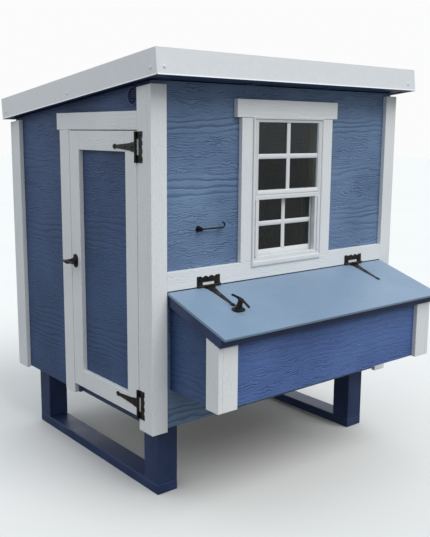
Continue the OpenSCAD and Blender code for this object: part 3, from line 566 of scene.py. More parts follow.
def screw_seats(node: str) -> list[Seat]:
    """Find the seat of each screw in a frame node.

    Args:
        node: Name of a node whose solids are all screws.

    Returns:
        One seat for each screw, under its head.
    """
    bm = merged_copy(node)
    seats = []
    for part in loose_parts(bm):
        points = np.array([v.co for v in part], float)
        axis = np.linalg.eigh(np.cov((points - points.mean(0)).T))[1][:, -1]
        along = (points - points.mean(0)) @ axis
        off = points - points.mean(0) - np.outer(along, axis)
        reach = np.linalg.norm(off, axis=1)
        head = reach > reach.max() * 0.9
        way = 1.0 if along[head].mean() > 0 else -1.0
        seat = points.mean(0) + axis * way * (along[head] * way).min()
        seats.append(Seat(Vector(seat), Vector(axis * way), float(reach.max())))
    bm.free()
    return seats


def polished(mesh: bpy.types.Mesh, name: str, sharp: float = 50.0) -> bpy.types.Mesh:
    """Shade a mesh smooth across its eased edges and flat on its faces.

    Args:
        mesh: Mesh to shade; it is used up.
        name: Name of the result.
        sharp: Angle in degrees past which an edge stays crisp.

    Returns:
        The mesh with weighted normals.
    """
    for polygon in mesh.polygons:
        polygon.use_smooth = True
    mesh.set_sharp_from_angle(angle=math.radians(sharp))
    holder = bpy.data.objects.new(name + "_polish", mesh)
    bpy.context.scene.collection.objects.link(holder)
    holder.modifiers.new("weighted", "WEIGHTED_NORMAL").keep_sharp = True
    result = bpy.data.meshes.new_from_object(holder.evaluated_get(bpy.context.evaluated_depsgraph_get()))
    holder.modifiers.clear()
    bpy.data.objects.remove(holder)
    result.name = name
    return result


def lathe(bm: bmesh.types.BMesh, outline: Sequence[Point], steps: int = 32) -> None:
    """Turn an outline of (radius, height) round Z into a closed shape.

    Args:
        bm: Mesh to add to.
        outline: Points from the lower end to the upper end; both ends are capped.
        steps: Number of sides.
    """
    rings = []
    for radius, height in outline:
        rings.append([bm.verts.new((radius * math.cos(math.tau * i / steps),
                                    radius * math.sin(math.tau * i / steps), height))
                      for i in range(steps)])
    for low, high in zip(rings, rings[1:]):
        for i in range(steps):
            j = (i + 1) % steps
            bm.faces.new((low[i], low[j], high[j], high[i]))
    bm.faces.new(list(reversed(rings[0])))
    bm.faces.new(rings[-1])


def prism(bm: bmesh.types.BMesh, outline: Sequence[Point], low: float, high: float, axis: Run) -> None:
    """Draw a closed outline out along an axis.

    Args:
        bm: Mesh to add to.
        outline: Points in the two other axes, in X, Y, Z order.
        low: Start along the axis.
        high: End along the axis.
        axis: Axis that the prism runs along.
    """
    def place(point: Point, depth: float) -> tuple[float, ...]:
        """Put a point of the outline at a depth along the axis."""
        rest = list(point)
        rest.insert("XYZ".index(axis.value), depth)
        return tuple(rest)

    ends = [[bm.verts.new(place(p, depth)) for p in outline] for depth in (low, high)]
    for i in range(len(outline)):
        j = (i + 1) % len(outline)
        bm.faces.new((ends[0][i], ends[0][j], ends[1][j], ends[1][i]))
    bm.faces.new(list(reversed(ends[0])))
    bm.faces.new(ends[1])


def mitred_ring(bm: bmesh.types.BMesh, low: Point, high: Point, widths: tuple[float, float, float],
                section: Sequence[Point]) -> None:
    """Sweep a closed section round a rectangle in the X-Z plane, with mitred corners.

    Args:
        bm: Mesh to add to.
        low: Lower left outer corner (x, z).
        high: Upper right outer corner (x, z).
        widths: Width of the sides, the sill and the head.
        section: Closed loop of (share of the width from the outer edge, y).
    """
    side, sill, head = widths
    loops = [[bm.verts.new((x, y, z)) for x, z in (
        (low[0] + t * side, low[1] + t * sill), (high[0] - t * side, low[1] + t * sill),
        (high[0] - t * side, high[1] - t * head), (low[0] + t * side, high[1] - t * head))]
        for t, y in section]
    for first, second in zip(loops, loops[1:] + loops[:1]):
        for i in range(4):
            j = (i + 1) % 4
            bm.faces.new((first[i], first[j], second[j], second[i]))


@dataclass
class Workshop:
    """Makes pieces into objects, gives them their finish and books them in."""

    booked: list[str] = field(default_factory=list)

    def dress(self, node: str, finish: Finish, run: Run) -> None:
        """Keep a frame node's shape and give it its finish.

        Args:
            node: Frame node.
            finish: Finish that it takes.
            run: Axis that the grain follows.
        """
        data = frame["nodes"][node].data
        data.materials.clear()
        data.materials.append(finish.material(run))
        self.booked.append(node)
        LOG.info("%s keeps its shape, in %s", node, finish.name)

    def add(self, name: str, mesh: bpy.types.Mesh, finish: Finish, body: str,
            *nodes: str) -> bpy.types.Object:
        """Put a finished mesh on its body, in place of frame nodes.

        Args:
            name: Name of the piece.
            mesh: Mesh in frame metres, with its materials set.
            finish: Finish whose name is logged.
            body: Body that it rides on.
            *nodes: Frame nodes that it stands for.

        Returns:
            The new object.
        """
        piece = bpy.data.objects.new(name, mesh)
        bpy.context.scene.collection.objects.link(piece)
        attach(piece, body)
        if nodes:
            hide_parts(*nodes)
        self.booked.append(name)
        LOG.info("%s rides on %s: %d faces, in %s", name, body, len(mesh.polygons), finish.name)
        return piece

    def ease(self, node: str, finish: Finish, width: float, run: Run | None = None,
             least: float = 3.0, name: str = "") -> bpy.types.Object:
        """Copy a frame node with its long sharp edges eased.

        Args:
            node: Frame node that the copy stands for.
            finish: Finish of the piece.
            width: Width of the eased edge, in millimetres.
            run: Axis of the grain, or None to take each board's longest side.
            least: Edges shorter than this many widths stay as they are.
            name: Name of the piece, if not the node's own with a suffix.

        Returns:
            The new object.
        """
        bm = merged_copy(node)
        bmesh.ops.dissolve_limit(bm, angle_limit=math.radians(0.5), verts=bm.verts, edges=bm.edges)
        edges = [e for e in bm.edges if e.is_manifold and abs(e.calc_face_angle(0.0)) > math.radians(32)
                 and e.calc_length() > least * width * MM]
        bmesh.ops.bevel(bm, geom=edges, offset=width * MM, segments=2, profile=0.6, affect="EDGES",
                        clamp_overlap=True)
        bm.verts.index_update()
        if run is None:
            for part in loose_parts(bm):
                points = np.array([v.co for v in part], float)
                longest = int(np.argmax(points.max(0) - points.min(0)))
                for face in {f for v in part for f in v.link_faces}:
                    face.material_index = longest
        title = name or node + "_eased"
        mesh = bpy.data.meshes.new(title)
        bm.to_mesh(mesh)
        bm.free()
        for axis in ([run] if run else list(Run)):
            mesh.materials.append(finish.material(axis))
        return self.add(title, polished(mesh, title), finish, body_of(node), node)

    def shape(self, name: str, bm: bmesh.types.BMesh, bench: Bench | None, finish: Finish, body: str,
              *nodes: str, run: Run = Run.X, sharp: float = 35.0) -> bpy.types.Object:
        """Finish a shape drawn in millimetres and put it on its body.

        Args:
            name: Name of the piece.
            bm: Drawn shape; it is freed here.
            bench: Frame that it was drawn in, or None for house millimetres.
            finish: Finish of the piece.
            body: Body that it rides on.
            *nodes: Frame nodes that it stands for.
            run: Axis of the grain or of the die lines.
            sharp: Angle in degrees past which an edge stays crisp.

        Returns:
            The new object.
        """
        bmesh.ops.transform(bm, matrix=(bench or HOUSE).matrix(), verts=bm.verts)
        bmesh.ops.recalc_face_normals(bm, faces=bm.faces)
        mesh = bpy.data.meshes.new(name)
        bm.to_mesh(mesh)
        bm.free()
        mesh.materials.append(finish.material(run))
        return self.add(name, polished(mesh, name, sharp), finish, body, *nodes)

    def grow(self, name: str, tree: bpy.types.NodeTree, values: dict[str, Any],
             points: bpy.types.Mesh | None = None) -> bpy.types.Mesh:
        """Run a Geometry Nodes tree once and keep its result as a plain mesh.

        Args:
            name: Name of the mesh.
            tree: Tree to run.
            values: Input name to value.
            points: Mesh that goes in, if the tree starts from one.

        Returns:
            The realized mesh with its material.
        """
        bed = bpy.data.objects.new(name + "_bed", points or bpy.data.meshes.new(name + "_bed"))
        bpy.context.scene.collection.objects.link(bed)
        modifier = bed.modifiers.new("grow", "NODES")
        modifier.node_group = tree
        for item in tree.interface.items_tree:
            if item.item_type == "SOCKET" and item.in_out == "INPUT" and item.name in values:
                modifier[item.identifier] = values[item.name]
        bpy.context.view_layer.update()
        mesh = bpy.data.meshes.new_from_object(bed.evaluated_get(bpy.context.evaluated_depsgraph_get()))
        bed.modifiers.clear()
        bpy.data.objects.remove(bed)
        mesh.name = name
        return mesh


def body_of(node: str) -> str:
    """Name of the body that a frame node rides on."""
    return next(b for b, nodes in frame["record"]["behaviour"]["bodies"].items() if node in nodes)


def house_bench() -> Bench:
    """Bench at the front left foot of the body: X right, Y back, Z up."""
    low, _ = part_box("corner_boards")
    return Bench(Vector((low.x, low.y, 0.0)), Vector((1, 0, 0)), Vector((0, 1, 0)), Vector((0, 0, 1)))


HOUSE = house_bench()


# ---- Geometry Nodes ----


def new_tree(name: str, inputs: dict[str, str]) -> tuple[bpy.types.NodeTree, bpy.types.Node]:
    """Start a tree with named inputs and one geometry output.

    Args:
        name: Name of the tree.
        inputs: Input name to socket type.

    Returns:
        The tree and its input node.
    """
    tree = bpy.data.node_groups.new(name, "GeometryNodeTree")
    tree.interface.new_socket("Geometry", in_out="INPUT", socket_type="NodeSocketGeometry")
    for title, kind in inputs.items():
        tree.interface.new_socket(title, in_out="INPUT", socket_type=kind)
    tree.interface.new_socket("Geometry", in_out="OUTPUT", socket_type="NodeSocketGeometry")
    return tree, add_node(tree, "NodeGroupInput")


def close_tree(tree: bpy.types.NodeTree, given: bpy.types.Node, geometry: bpy.types.NodeSocket) -> None:
    """End a tree: make the copies real and give them their material.

    Args:
        tree: Tree to end.
        given: The tree's input node, with a socket named Finish.
        geometry: Socket of the copies.
    """
    real = add_node(tree, "GeometryNodeRealizeInstances", {0: geometry}).outputs[0]
    dressed = add_node(tree, "GeometryNodeSetMaterial",
                       {"Geometry": real, "Material": given.outputs["Finish"]})
    add_node(tree, "NodeGroupOutput", {0: dressed.outputs[0]})


def screw_tree() -> bpy.types.NodeTree:
    """Tree that sets one screw on every point, turned by chance about its own axis.

    Returns:
        The tree.
    """
    tree, given = new_tree("set_screws", {"Screw": "NodeSocketObject", "Seed": "NodeSocketInt",
                                          "Finish": "NodeSocketMaterial"})
    facing = add_node(tree, "GeometryNodeInputNamedAttribute", {"Name": "facing"},
                      data_type="FLOAT_VECTOR").outputs[0]
    aim = add_node(tree, "FunctionNodeAlignRotationToVector", {"Vector": facing}, axis="Z").outputs[0]
    chance = add_node(tree, "FunctionNodeRandomValue", {2: 0.0, 3: math.tau, "Seed": given.outputs["Seed"]},
                      data_type="FLOAT").outputs[1]
    spin = add_node(tree, "FunctionNodeAxisAngleToRotation", {"Axis": (0, 0, 1), "Angle": chance}).outputs[0]
    turned = add_node(tree, "FunctionNodeRotateRotation", {0: aim, 1: spin},
                      rotation_space="LOCAL").outputs[0]
    screw = add_node(tree, "GeometryNodeObjectInfo", {"Object": given.outputs["Screw"]}).outputs["Geometry"]
    size = add_node(tree, "GeometryNodeInputNamedAttribute", {"Name": "size"}, data_type="FLOAT").outputs[0]
    copies = add_node(tree, "GeometryNodeInstanceOnPoints", {
        "Points": given.outputs["Geometry"], "Instance": screw, "Rotation": turned, "Scale": size}).outputs[0]
    close_tree(tree, given, copies)
    return tree


def row_tree() -> bpy.types.NodeTree:
    """Tree that repeats one piece along a line.

    Returns:
        The tree.
    """
    tree, given = new_tree("row_of_pieces", {
        "Piece": "NodeSocketObject", "Count": "NodeSocketInt", "Start": "NodeSocketVector",
        "Step": "NodeSocketVector", "Finish": "NodeSocketMaterial"})
    line = add_node(tree, "GeometryNodeMeshLine", {
        "Count": given.outputs["Count"], "Start Location": given.outputs["Start"],
        "Offset": given.outputs["Step"]}, mode="OFFSET").outputs[0]
    piece = add_node(tree, "GeometryNodeObjectInfo", {"Object": given.outputs["Piece"]}).outputs["Geometry"]
    copies = add_node(tree, "GeometryNodeInstanceOnPoints", {"Points": line, "Instance": piece}).outputs[0]
    close_tree(tree, given, copies)
    return tree


def mesh_tree() -> bpy.types.NodeTree:
    """Tree that weaves a flat insect mesh: level wires and upright wires, each a thin square bar.

    Returns:
        The tree.
    """
    tree, given = new_tree("insect_mesh", {
        "Corner": "NodeSocketVector", "Width": "NodeSocketFloat", "Height": "NodeSocketFloat",
        "Pitch": "NodeSocketFloat", "Wire": "NodeSocketFloat", "Finish": "NodeSocketMaterial"})
    wire, pitch = given.outputs["Wire"], given.outputs["Pitch"]
    layers = []
    for long_side, other_side, slot, rise in (("Width", "Height", "X", "Z"), ("Height", "Width", "Z", "X")):
        count = add_node(tree, "ShaderNodeMath", {0: given.outputs[other_side], 1: pitch},
                         operation="DIVIDE").outputs[0]
        step = add_node(tree, "ShaderNodeCombineXYZ", {rise: pitch}).outputs[0]
        half = add_node(tree, "ShaderNodeMath", {0: given.outputs[long_side], 1: 0.5},
                        operation="MULTIPLY").outputs[0]
        start = add_node(tree, "ShaderNodeCombineXYZ",
                         {slot: half, "Y": wire if slot == "X" else 0.0}).outputs[0]
        line = add_node(tree, "GeometryNodeMeshLine", {"Count": count, "Start Location": start,
                                                       "Offset": step}, mode="OFFSET").outputs[0]
        size = add_node(tree, "ShaderNodeCombineXYZ", {slot: given.outputs[long_side], "Y": wire,
                                                       rise: wire}).outputs[0]
        bar = add_node(tree, "GeometryNodeMeshCube", {"Size": size}).outputs[0]
        wires = add_node(tree, "GeometryNodeInstanceOnPoints", {"Points": line, "Instance": bar})
        layers.append(wires.outputs[0])
    joined = add_node(tree, "GeometryNodeJoinGeometry").inputs[0]
    for layer in reversed(layers):
        tree.links.new(layer, joined)
    placed = add_node(tree, "GeometryNodeTransform", {0: joined.node.outputs[0],
                                                      "Translation": given.outputs["Corner"]}).outputs[0]
    close_tree(tree, given, placed)
    return tree


def louvre_tree() -> bpy.types.NodeTree:
    """Tree that fills a round opening with slanted blades, each as long as the circle allows.

    Returns:
        The tree.
    """
    tree, given = new_tree("round_louvres", {
        "Count": "NodeSocketInt", "Pitch": "NodeSocketFloat", "Radius": "NodeSocketFloat",
        "Blade": "NodeSocketVector", "Slant": "NodeSocketFloat", "Centre": "NodeSocketVector",
        "Finish": "NodeSocketMaterial"})
    pitch = given.outputs["Pitch"]
    last = add_node(tree, "ShaderNodeMath", {0: given.outputs["Count"], 1: 1.0},
                    operation="SUBTRACT").outputs[0]
    span = add_node(tree, "ShaderNodeMath", {0: last, 1: pitch}, operation="MULTIPLY").outputs[0]
    foot = add_node(tree, "ShaderNodeMath", {0: span, 1: -0.5}, operation="MULTIPLY").outputs[0]
    start = add_node(tree, "ShaderNodeCombineXYZ", {"Z": foot}).outputs[0]
    step = add_node(tree, "ShaderNodeCombineXYZ", {"Z": pitch}).outputs[0]
    line = add_node(tree, "GeometryNodeMeshLine", {"Count": given.outputs["Count"], "Start Location": start,
                                                   "Offset": step}, mode="OFFSET").outputs[0]
    spot = add_node(tree, "GeometryNodeInputPosition").outputs[0]
    height = add_node(tree, "ShaderNodeSeparateXYZ", {0: spot}).outputs["Z"]
    share = add_node(tree, "ShaderNodeMath", {0: height, 1: given.outputs["Radius"]},
                     operation="DIVIDE").outputs[0]
    angle = add_node(tree, "ShaderNodeMath", {0: share}, operation="ARCSINE").outputs[0]
    chord = add_node(tree, "ShaderNodeMath", {0: angle}, operation="COSINE").outputs[0]
    stretch = add_node(tree, "ShaderNodeCombineXYZ", {"X": 1.0, "Y": chord, "Z": 1.0}).outputs[0]
    slant = add_node(tree, "ShaderNodeCombineXYZ", {"Y": given.outputs["Slant"]}).outputs[0]
    turn = add_node(tree, "FunctionNodeEulerToRotation", {0: slant}).outputs[0]
    blade = add_node(tree, "GeometryNodeMeshCube", {"Size": given.outputs["Blade"]}).outputs[0]
    copies = add_node(tree, "GeometryNodeInstanceOnPoints", {"Points": line, "Instance": blade,
                                                             "Rotation": turn, "Scale": stretch}).outputs[0]
    placed = add_node(tree, "GeometryNodeTransform",
                      {0: copies, "Translation": given.outputs["Centre"]}).outputs[0]
    close_tree(tree, given, placed)
    return tree


# ---- Shared hardware ----


def house_box(node: str) -> tuple[Vector, Vector]:
    """Lowest and highest corners of a frame node, in house millimetres."""
    return tuple((corner - HOUSE.origin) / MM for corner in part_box(node))


def joint(name: str) -> dict[str, Any]:
    """The frame's joint of that name."""
    return next(j for j in frame["joints"] if j["name"] == name)


@dataclass(frozen=True)
class Screws:
    """One kind of screw, set wherever a frame node has one. Lengths are millimetres."""

    head: ScrewHead
    radius: float
    height: float
    finish: Finish
    washer_lip: float = 2.0

    def widest(self) -> float:
        """Radius of the widest part of the head, its washer where it has one."""
        return self.radius + self.washer_lip if self.head is ScrewHead.HEX else self.radius

    def head_shape(self) -> bmesh.types.BMesh:
        """Draw one screw in millimetres, its seat at the origin and its head up.

        Returns:
            The mesh, which the caller frees.
        """
        bm = bmesh.new()
        if self.head is ScrewHead.HEX:
            r, h = self.radius, self.height
            lathe(bm, [(self.widest(), 0), (self.widest(), 0.5), (r + 1.2, 1.0), (r * 0.5, 1.2)], 24)
            lathe(bm, [(r, 0.8), (r, h - 0.7), (r * 0.86, h - 0.1), (r * 0.6, h)], 6)
        else:
            self.draw_pan_head(bm)
        return bm

    def draw_pan_head(self, bm: bmesh.types.BMesh) -> None:
        """Draw a domed head whose top is cut by a cross recess.

        Args:
            bm: Mesh to add to.
        """
        r, h, steps = self.radius, self.height, 20
        outline = [(0.5 * r, -2.0), (r * 0.96, 0.0), (r, 0.25 * h), (r * 0.93, 0.62 * h), (r * 0.78, 0.9 * h),
                   (r * 0.66, h)]
        rings = [[bm.verts.new((a * math.cos(math.tau * i / steps), a * math.sin(math.tau * i / steps), z))
                  for i in range(steps)] for a, z in outline]
        for low, high in zip(rings, rings[1:]):
            for i in range(steps):
                j = (i + 1) % steps
                bm.faces.new((low[i], low[j], high[j], high[i]))
        bm.faces.new(list(reversed(rings[0])))
        arm, slot = 0.55 * r, 0.13 * r
        quarter = [(arm, -slot), (arm, slot), (slot, slot)]
        cross = []
        for i in range(4):
            turn = Matrix.Rotation(i * math.pi / 2, 2)
            cross += [turn @ Vector(p) for p in quarter]
        rim = [bm.verts.new((p.x, p.y, h)) for p in cross]
        foot = [bm.verts.new((p.x * 0.5, p.y * 0.5, 0.35 * h)) for p in cross]
        n = len(rim)
        for i in range(n):
            bm.faces.new((rim[i], rim[(i + 1) % n], foot[(i + 1) % n], foot[i]))
        bm.faces.new(foot)
        loops = [bm.edges.get((ring[i], ring[(i + 1) % len(ring)])) for ring in (rings[-1], rim)
                 for i in range(len(ring))]
        bmesh.ops.triangle_fill(bm, edges=loops, use_beauty=True)

    def build(self, shop: Workshop, node: str) -> None:
        """Set the screws of a frame node.

        Args:
            shop: Workshop that books the piece.
            node: Node whose solids are the screws.
        """
        bm = self.head_shape()
        bmesh.ops.scale(bm, vec=(MM, MM, MM), verts=bm.verts)
        bmesh.ops.recalc_face_normals(bm, faces=bm.faces)
        mesh = bpy.data.meshes.new("one_screw")
        bm.to_mesh(mesh)
        bm.free()
        pattern = bpy.data.objects.new("one_screw", polished(mesh, "one_screw", 40.0))
        bpy.context.scene.collection.objects.link(pattern)
        seats = screw_seats(node)
        points = bpy.data.meshes.new(node + "_seats")
        points.from_pydata([s.place for s in seats], [], [])
        facing = points.attributes.new("facing", "FLOAT_VECTOR", "POINT")
        facing.data.foreach_set("vector", [c for s in seats for c in s.facing])
        size = points.attributes.new("size", "FLOAT", "POINT")
        size.data.foreach_set("value", [s.radius / (self.widest() * MM) for s in seats])
        grown = shop.grow(node + "_set", screw_tree(), {
            "Screw": pattern, "Seed": len(seats), "Finish": self.finish.material()}, points)
        bpy.data.objects.remove(pattern)
        shop.add(node + "_set", grown, self.finish, body_of(node), node)


PAN_SCREWS = Screws(ScrewHead.PAN, 4.0, 1.8, IRON)
HEX_SCREWS = Screws(ScrewHead.HEX, 4.5, 3.5, ROOF_STEEL)


@dataclass(frozen=True)
class TwistHandle:
    """Cast T handle: a bowed bar on a turned stem, with a rod to the pawl.

    Lengths are millimetres from the surface that the handle stands on.
    """

    joint_name: str
    across: Vector
    outward: float
    rod_end: float
    half_bar: float = 47.5
    bar_off: float = 40.0
    droop: float = 6.0
    rod_r: float = 4.5
    bar_w: float = 8.2
    bar_t: float = 5.6

    def bench(self) -> Bench:
        """Bench with Z off the surface and Y along the bar.

        Returns:
            The bench, in frame metres.
        """
        found = joint(self.joint_name)
        out = Vector(found["axis"]).normalized() * self.outward
        along = out.cross(self.across).normalized()
        return Bench(Vector(found["pos_m"]), self.across, along, out)

    def build(self, shop: Workshop, node: str) -> None:
        """Draw the handle in place of a frame node.

        Args:
            shop: Workshop that books the piece.
            node: Frame node of the handle.
        """
        bm = bmesh.new()
        stem = [(self.rod_r, -self.rod_end), (self.rod_r, 8.4), (12.0, 8.5), (12.4, 10.0), (11.8, 13.0),
                (10.4, 18.0), (9.4, 24.0), (9.0, 31.0), (9.2, 36.0), (6.4, 40.0)]
        lathe(bm, stem, 28)
        self.draw_bar(bm)
        shop.shape(node + "_cast", bm, self.bench(), IRON, body_of(node), node, sharp=50.0)

    def draw_bar(self, bm: bmesh.types.BMesh) -> None:
        """Loft the bar: widest over the stem, bowed down and rounded at its ends.

        Args:
            bm: Mesh to add to.
        """
        sides, rings = 16, []
        stations = [-1.0, -0.985, -0.95, -0.85, -0.7, -0.5, -0.3, -0.12, 0.0, 0.12, 0.3, 0.5, 0.7, 0.85, 0.95,
                    0.985, 1.0]
        for t in stations:
            swell = 0.44 + 0.16 * abs(t)
            if abs(t) < 0.62:
                swell = 0.72 + 0.28 * math.cos(math.pi * min(1.0, abs(t) * 1.6))
            cap = math.sqrt(max(0.05, 1 - ((abs(t) - 0.93) / 0.071) ** 2)) if abs(t) > 0.93 else 1.0
            rise = self.bar_off - self.droop * t * t
            half_w, half_t = self.bar_w * swell * cap, self.bar_t * swell ** 0.5 * cap
            rings.append([bm.verts.new((half_w * math.cos(math.tau * i / sides), t * self.half_bar,
                                        rise + half_t * math.sin(math.tau * i / sides)))
                          for i in range(sides)])
        for low, high in zip(rings, rings[1:]):
            for i in range(sides):
                j = (i + 1) % sides
                bm.faces.new((low[i], high[i], high[j], low[j]))
        bm.faces.new(rings[0])
        bm.faces.new(list(reversed(rings[-1])))


# ---- Sub-assemblies ----


@dataclass(frozen=True)
class Stand:
    """Two leg frames on flat plates, with the floor frame across them."""

    arris: float = 4.0
    plate_arris: float = 3.0

    def build(self, shop: Workshop) -> None:
        """Ease the posts, plates and floor timbers as planed timber is."""
        shop.ease("skid_plates", LUMBER, self.plate_arris, Run.Y)
        shop.ease("legs", LUMBER, self.arris, Run.Z)
        shop.ease("floor_frame", LUMBER, self.plate_arris)


@dataclass(frozen=True)
class Cabin:
    """Floor, sided walls, studs, roosts and the white boards of the body."""

    board_arris: float = 1.4
    stud_arris: float = 2.5

    def build(self, shop: Workshop) -> None:
        """Dress the panels and ease the boards.

        Args:
            shop: Workshop that books the pieces.
        """
        shop.dress("floor_panel", PINE, Run.X)
        # The back and side walls take the darker blue, a painted shade.
        for node, run in (("wall_back", Run.X), ("wall_left", Run.Y), ("wall_right", Run.Y)):
            shop.dress(node, SHADED_SIDE_SIDING, run)
        # The front wall takes the lighter blue, a painted sheen.
        shop.dress("wall_front", FRONT_SIDING_PAINTED_SHEEN, Run.X)
        shop.ease("wall_studs", PINE, self.stud_arris)
        shop.ease("roost_bars", PINE, self.stud_arris, Run.X)
        for node in ("corner_boards", "nest_hinge_board", "door_casing", "window_casing"):
            shop.ease(node, TRIM, self.board_arris)


@dataclass(frozen=True)
class RoundVents:
    """Louvred discs let into both side walls. Lengths are millimetres."""

    radius: float = 33.0
    bore: float = 26.6
    seat: float = 18.0
    louvres: int = 6
    pitch: float = 8.2
    blade: tuple[float, float, float] = (9.0, 51.0, 1.6)
    slant: float = math.radians(38)

    def build(self, shop: Workshop) -> None:
        """Turn the rims and grow the blades of both vents.

        Args:
            shop: Workshop that books the pieces.
        """
        low, high = house_box("round_vents")
        middle = (low + high) / 2
        centres = {"left": (self.seat, 1.0), "right": (low.x + high.x - self.seat, -1.0)}
        for side, (x, inward) in centres.items():
            bench = Bench(HOUSE.origin + Vector((x, middle.y, middle.z)) * MM, Vector((0, 0, inward)),
                          Vector((0, 1, 0)), Vector((-inward, 0, 0)))
            bm = bmesh.new()
            self.draw_rim(bm)
            nodes = ("round_vents",) if side == "left" else ()
            shop.shape(f"vent_rim_{side}", bm, bench, VENT, "coop", *nodes)
            blades = shop.grow(f"vent_louvres_{side}", louvre_tree(), {
                "Count": self.louvres, "Pitch": self.pitch * MM, "Radius": self.bore * MM,
                "Blade": [s * MM for s in self.blade], "Slant": -self.slant * inward,
                "Centre": HOUSE.origin + Vector((x + 3.0 * inward, middle.y, middle.z)) * MM,
                "Finish": VENT.material(Run.Y)})
            shop.add(f"vent_louvres_{side}", blades, VENT, "coop")

    def draw_rim(self, bm: bmesh.types.BMesh) -> None:
        """Turn the flanged rim: a closed section round the bore.

        Args:
            bm: Mesh to add to.
        """
        section = [(self.radius, 0.0), (self.radius, 1.6), (self.radius - 1.4, 3.0), (self.bore + 2.2, 3.0),
                   (self.bore, 1.2), (self.bore, -8.0), (self.bore + 1.2, -8.0), (self.bore + 1.2, 0.0)]
        steps = 48
        loops = [[bm.verts.new((r * math.cos(math.tau * i / steps), r * math.sin(math.tau * i / steps), h))
                  for i in range(steps)] for r, h in section]
        for first, second in zip(loops, loops[1:] + loops[:1]):
            for i in range(steps):
                j = (i + 1) % steps
                bm.faces.new((first[i], first[j], second[j], second[i]))


@dataclass(frozen=True)
class Roof:
    """Framing, boarding, ribbed sheet and folded edge trim of the sloping roof."""

    timber_arris: float = 1.5
    fold: float = 0.5

    def build(self, shop: Workshop) -> None:
        """Dress the timbers and the sheet, ease the folds and set the hex screws.

        Args:
            shop: Workshop that books the pieces.
        """
        shop.ease("rafters", LUMBER, self.timber_arris)
        shop.dress("front_soffit", LUMBER, Run.X)
        shop.dress("roof_deck", PINE, Run.X)
        # The sheet takes the darker copy of the white coat, a painted shade.
        shop.dress("roof_sheet", SHADED_SHEET_STEEL, Run.Y)
        shop.ease("roof_edge_trim", ROOF_STEEL, self.fold, Run.X)
        HEX_SCREWS.build(shop, "roof_trim_screws")


@dataclass(frozen=True)
class Hinges:
    """Fixed halves of the strap hinges: scalloped leaves, pins and their screws."""

    edge: float = 0.5

    def build(self, shop: Workshop) -> None:
        """Ease the pressed leaves and set the screws."""
        shop.ease("hinge_leaves", IRON, self.edge, Run.X, least=2.0)
        shop.ease("hinge_pins", IRON, 0.3, Run.X, least=1.0)
        PAN_SCREWS.build(shop, "hinge_leaf_screws")


@dataclass(frozen=True)
class KeepersDoor:
    """Boarded side door with two strap hinges and a twist handle."""

    board_arris: float = 1.6
    pressed_edge: float = 0.5
    rod_end: float = 35.0

    def build(self, shop: Workshop) -> None:
        """Build the door's boards, panel and ironwork.

        Args:
            shop: Workshop that books the pieces.
        """
        shop.ease("door_boards", TRIM, self.board_arris)
        shop.ease("door_panel", SHADED_SIDE_SIDING, 0.6, Run.Y, least=4.0)
        shop.ease("door_hinge_straps", IRON, self.pressed_edge, Run.Y, least=2.0)
        shop.ease("door_rose", IRON, 1.0, Run.Z, least=1.5)
        shop.ease("door_pawl", IRON, 0.4, Run.Z, least=2.0)
        TwistHandle("door_latch_turn", Vector((0, 0, 1)), 1.0, self.rod_end).build(shop, "door_t_handle")
        PAN_SCREWS.build(shop, "door_screws")


@dataclass(frozen=True)
class NestBox:
    """Outside nest box: sided walls, corner boards, floor, dividers and latch rail."""

    board_arris: float = 1.6

    def build(self, shop: Workshop) -> None:
        """Dress the inside and ease what shows outside.

        Args:
            shop: Workshop that books the pieces.
        """
        shop.dress("nest_floor", PINE, Run.X)
        shop.dress("nest_dividers", PINE, Run.Y)
        shop.dress("nest_latch_rail", PINE, Run.X)
        shop.ease("nest_sides", SHADED_SIDE_SIDING, 0.6, Run.Y)
        # The nest's front takes the darker blue, a painted shade under the lid.
        shop.ease("nest_front", SHADED_NEST_SIDING, 0.6, Run.X)
        shop.ease("nest_corner_boards", TRIM, self.board_arris, Run.Z)


@dataclass(frozen=True)
class NestLid:
    """Sloping lid of the nest box with its frame, straps and twist handle."""

    panel_arris: float = 1.6
    frame_arris: float = 1.2
    rod_end: float = 71.5

    def build(self, shop: Workshop) -> None:
        """Build the lid's boards and ironwork.

        Args:
            shop: Workshop that books the pieces.
        """
        # The lid's panel takes the paler blue, a painted sheen.
        shop.ease("lid_panel", LID_BOARD_PAINTED_SHEEN, self.panel_arris, Run.X, least=4.0)
        # The lid's frame takes the stand's navy, darker than the walls' blue, as a painted shade under the lid's
        # edge.
        shop.ease("lid_frame", LUMBER, self.frame_arris)
        shop.ease("lid_hinge_straps", IRON, 0.5, Run.X, least=2.0)
        shop.ease("lid_rose", IRON, 1.0, Run.X, least=1.5)
        shop.ease("lid_pawl", IRON, 0.4, Run.X, least=2.0)
        TwistHandle("lid_latch_turn", Vector((1, 0, 0)), -1.0, self.rod_end).build(shop, "lid_t_handle")
        PAN_SCREWS.build(shop, "lid_screws")


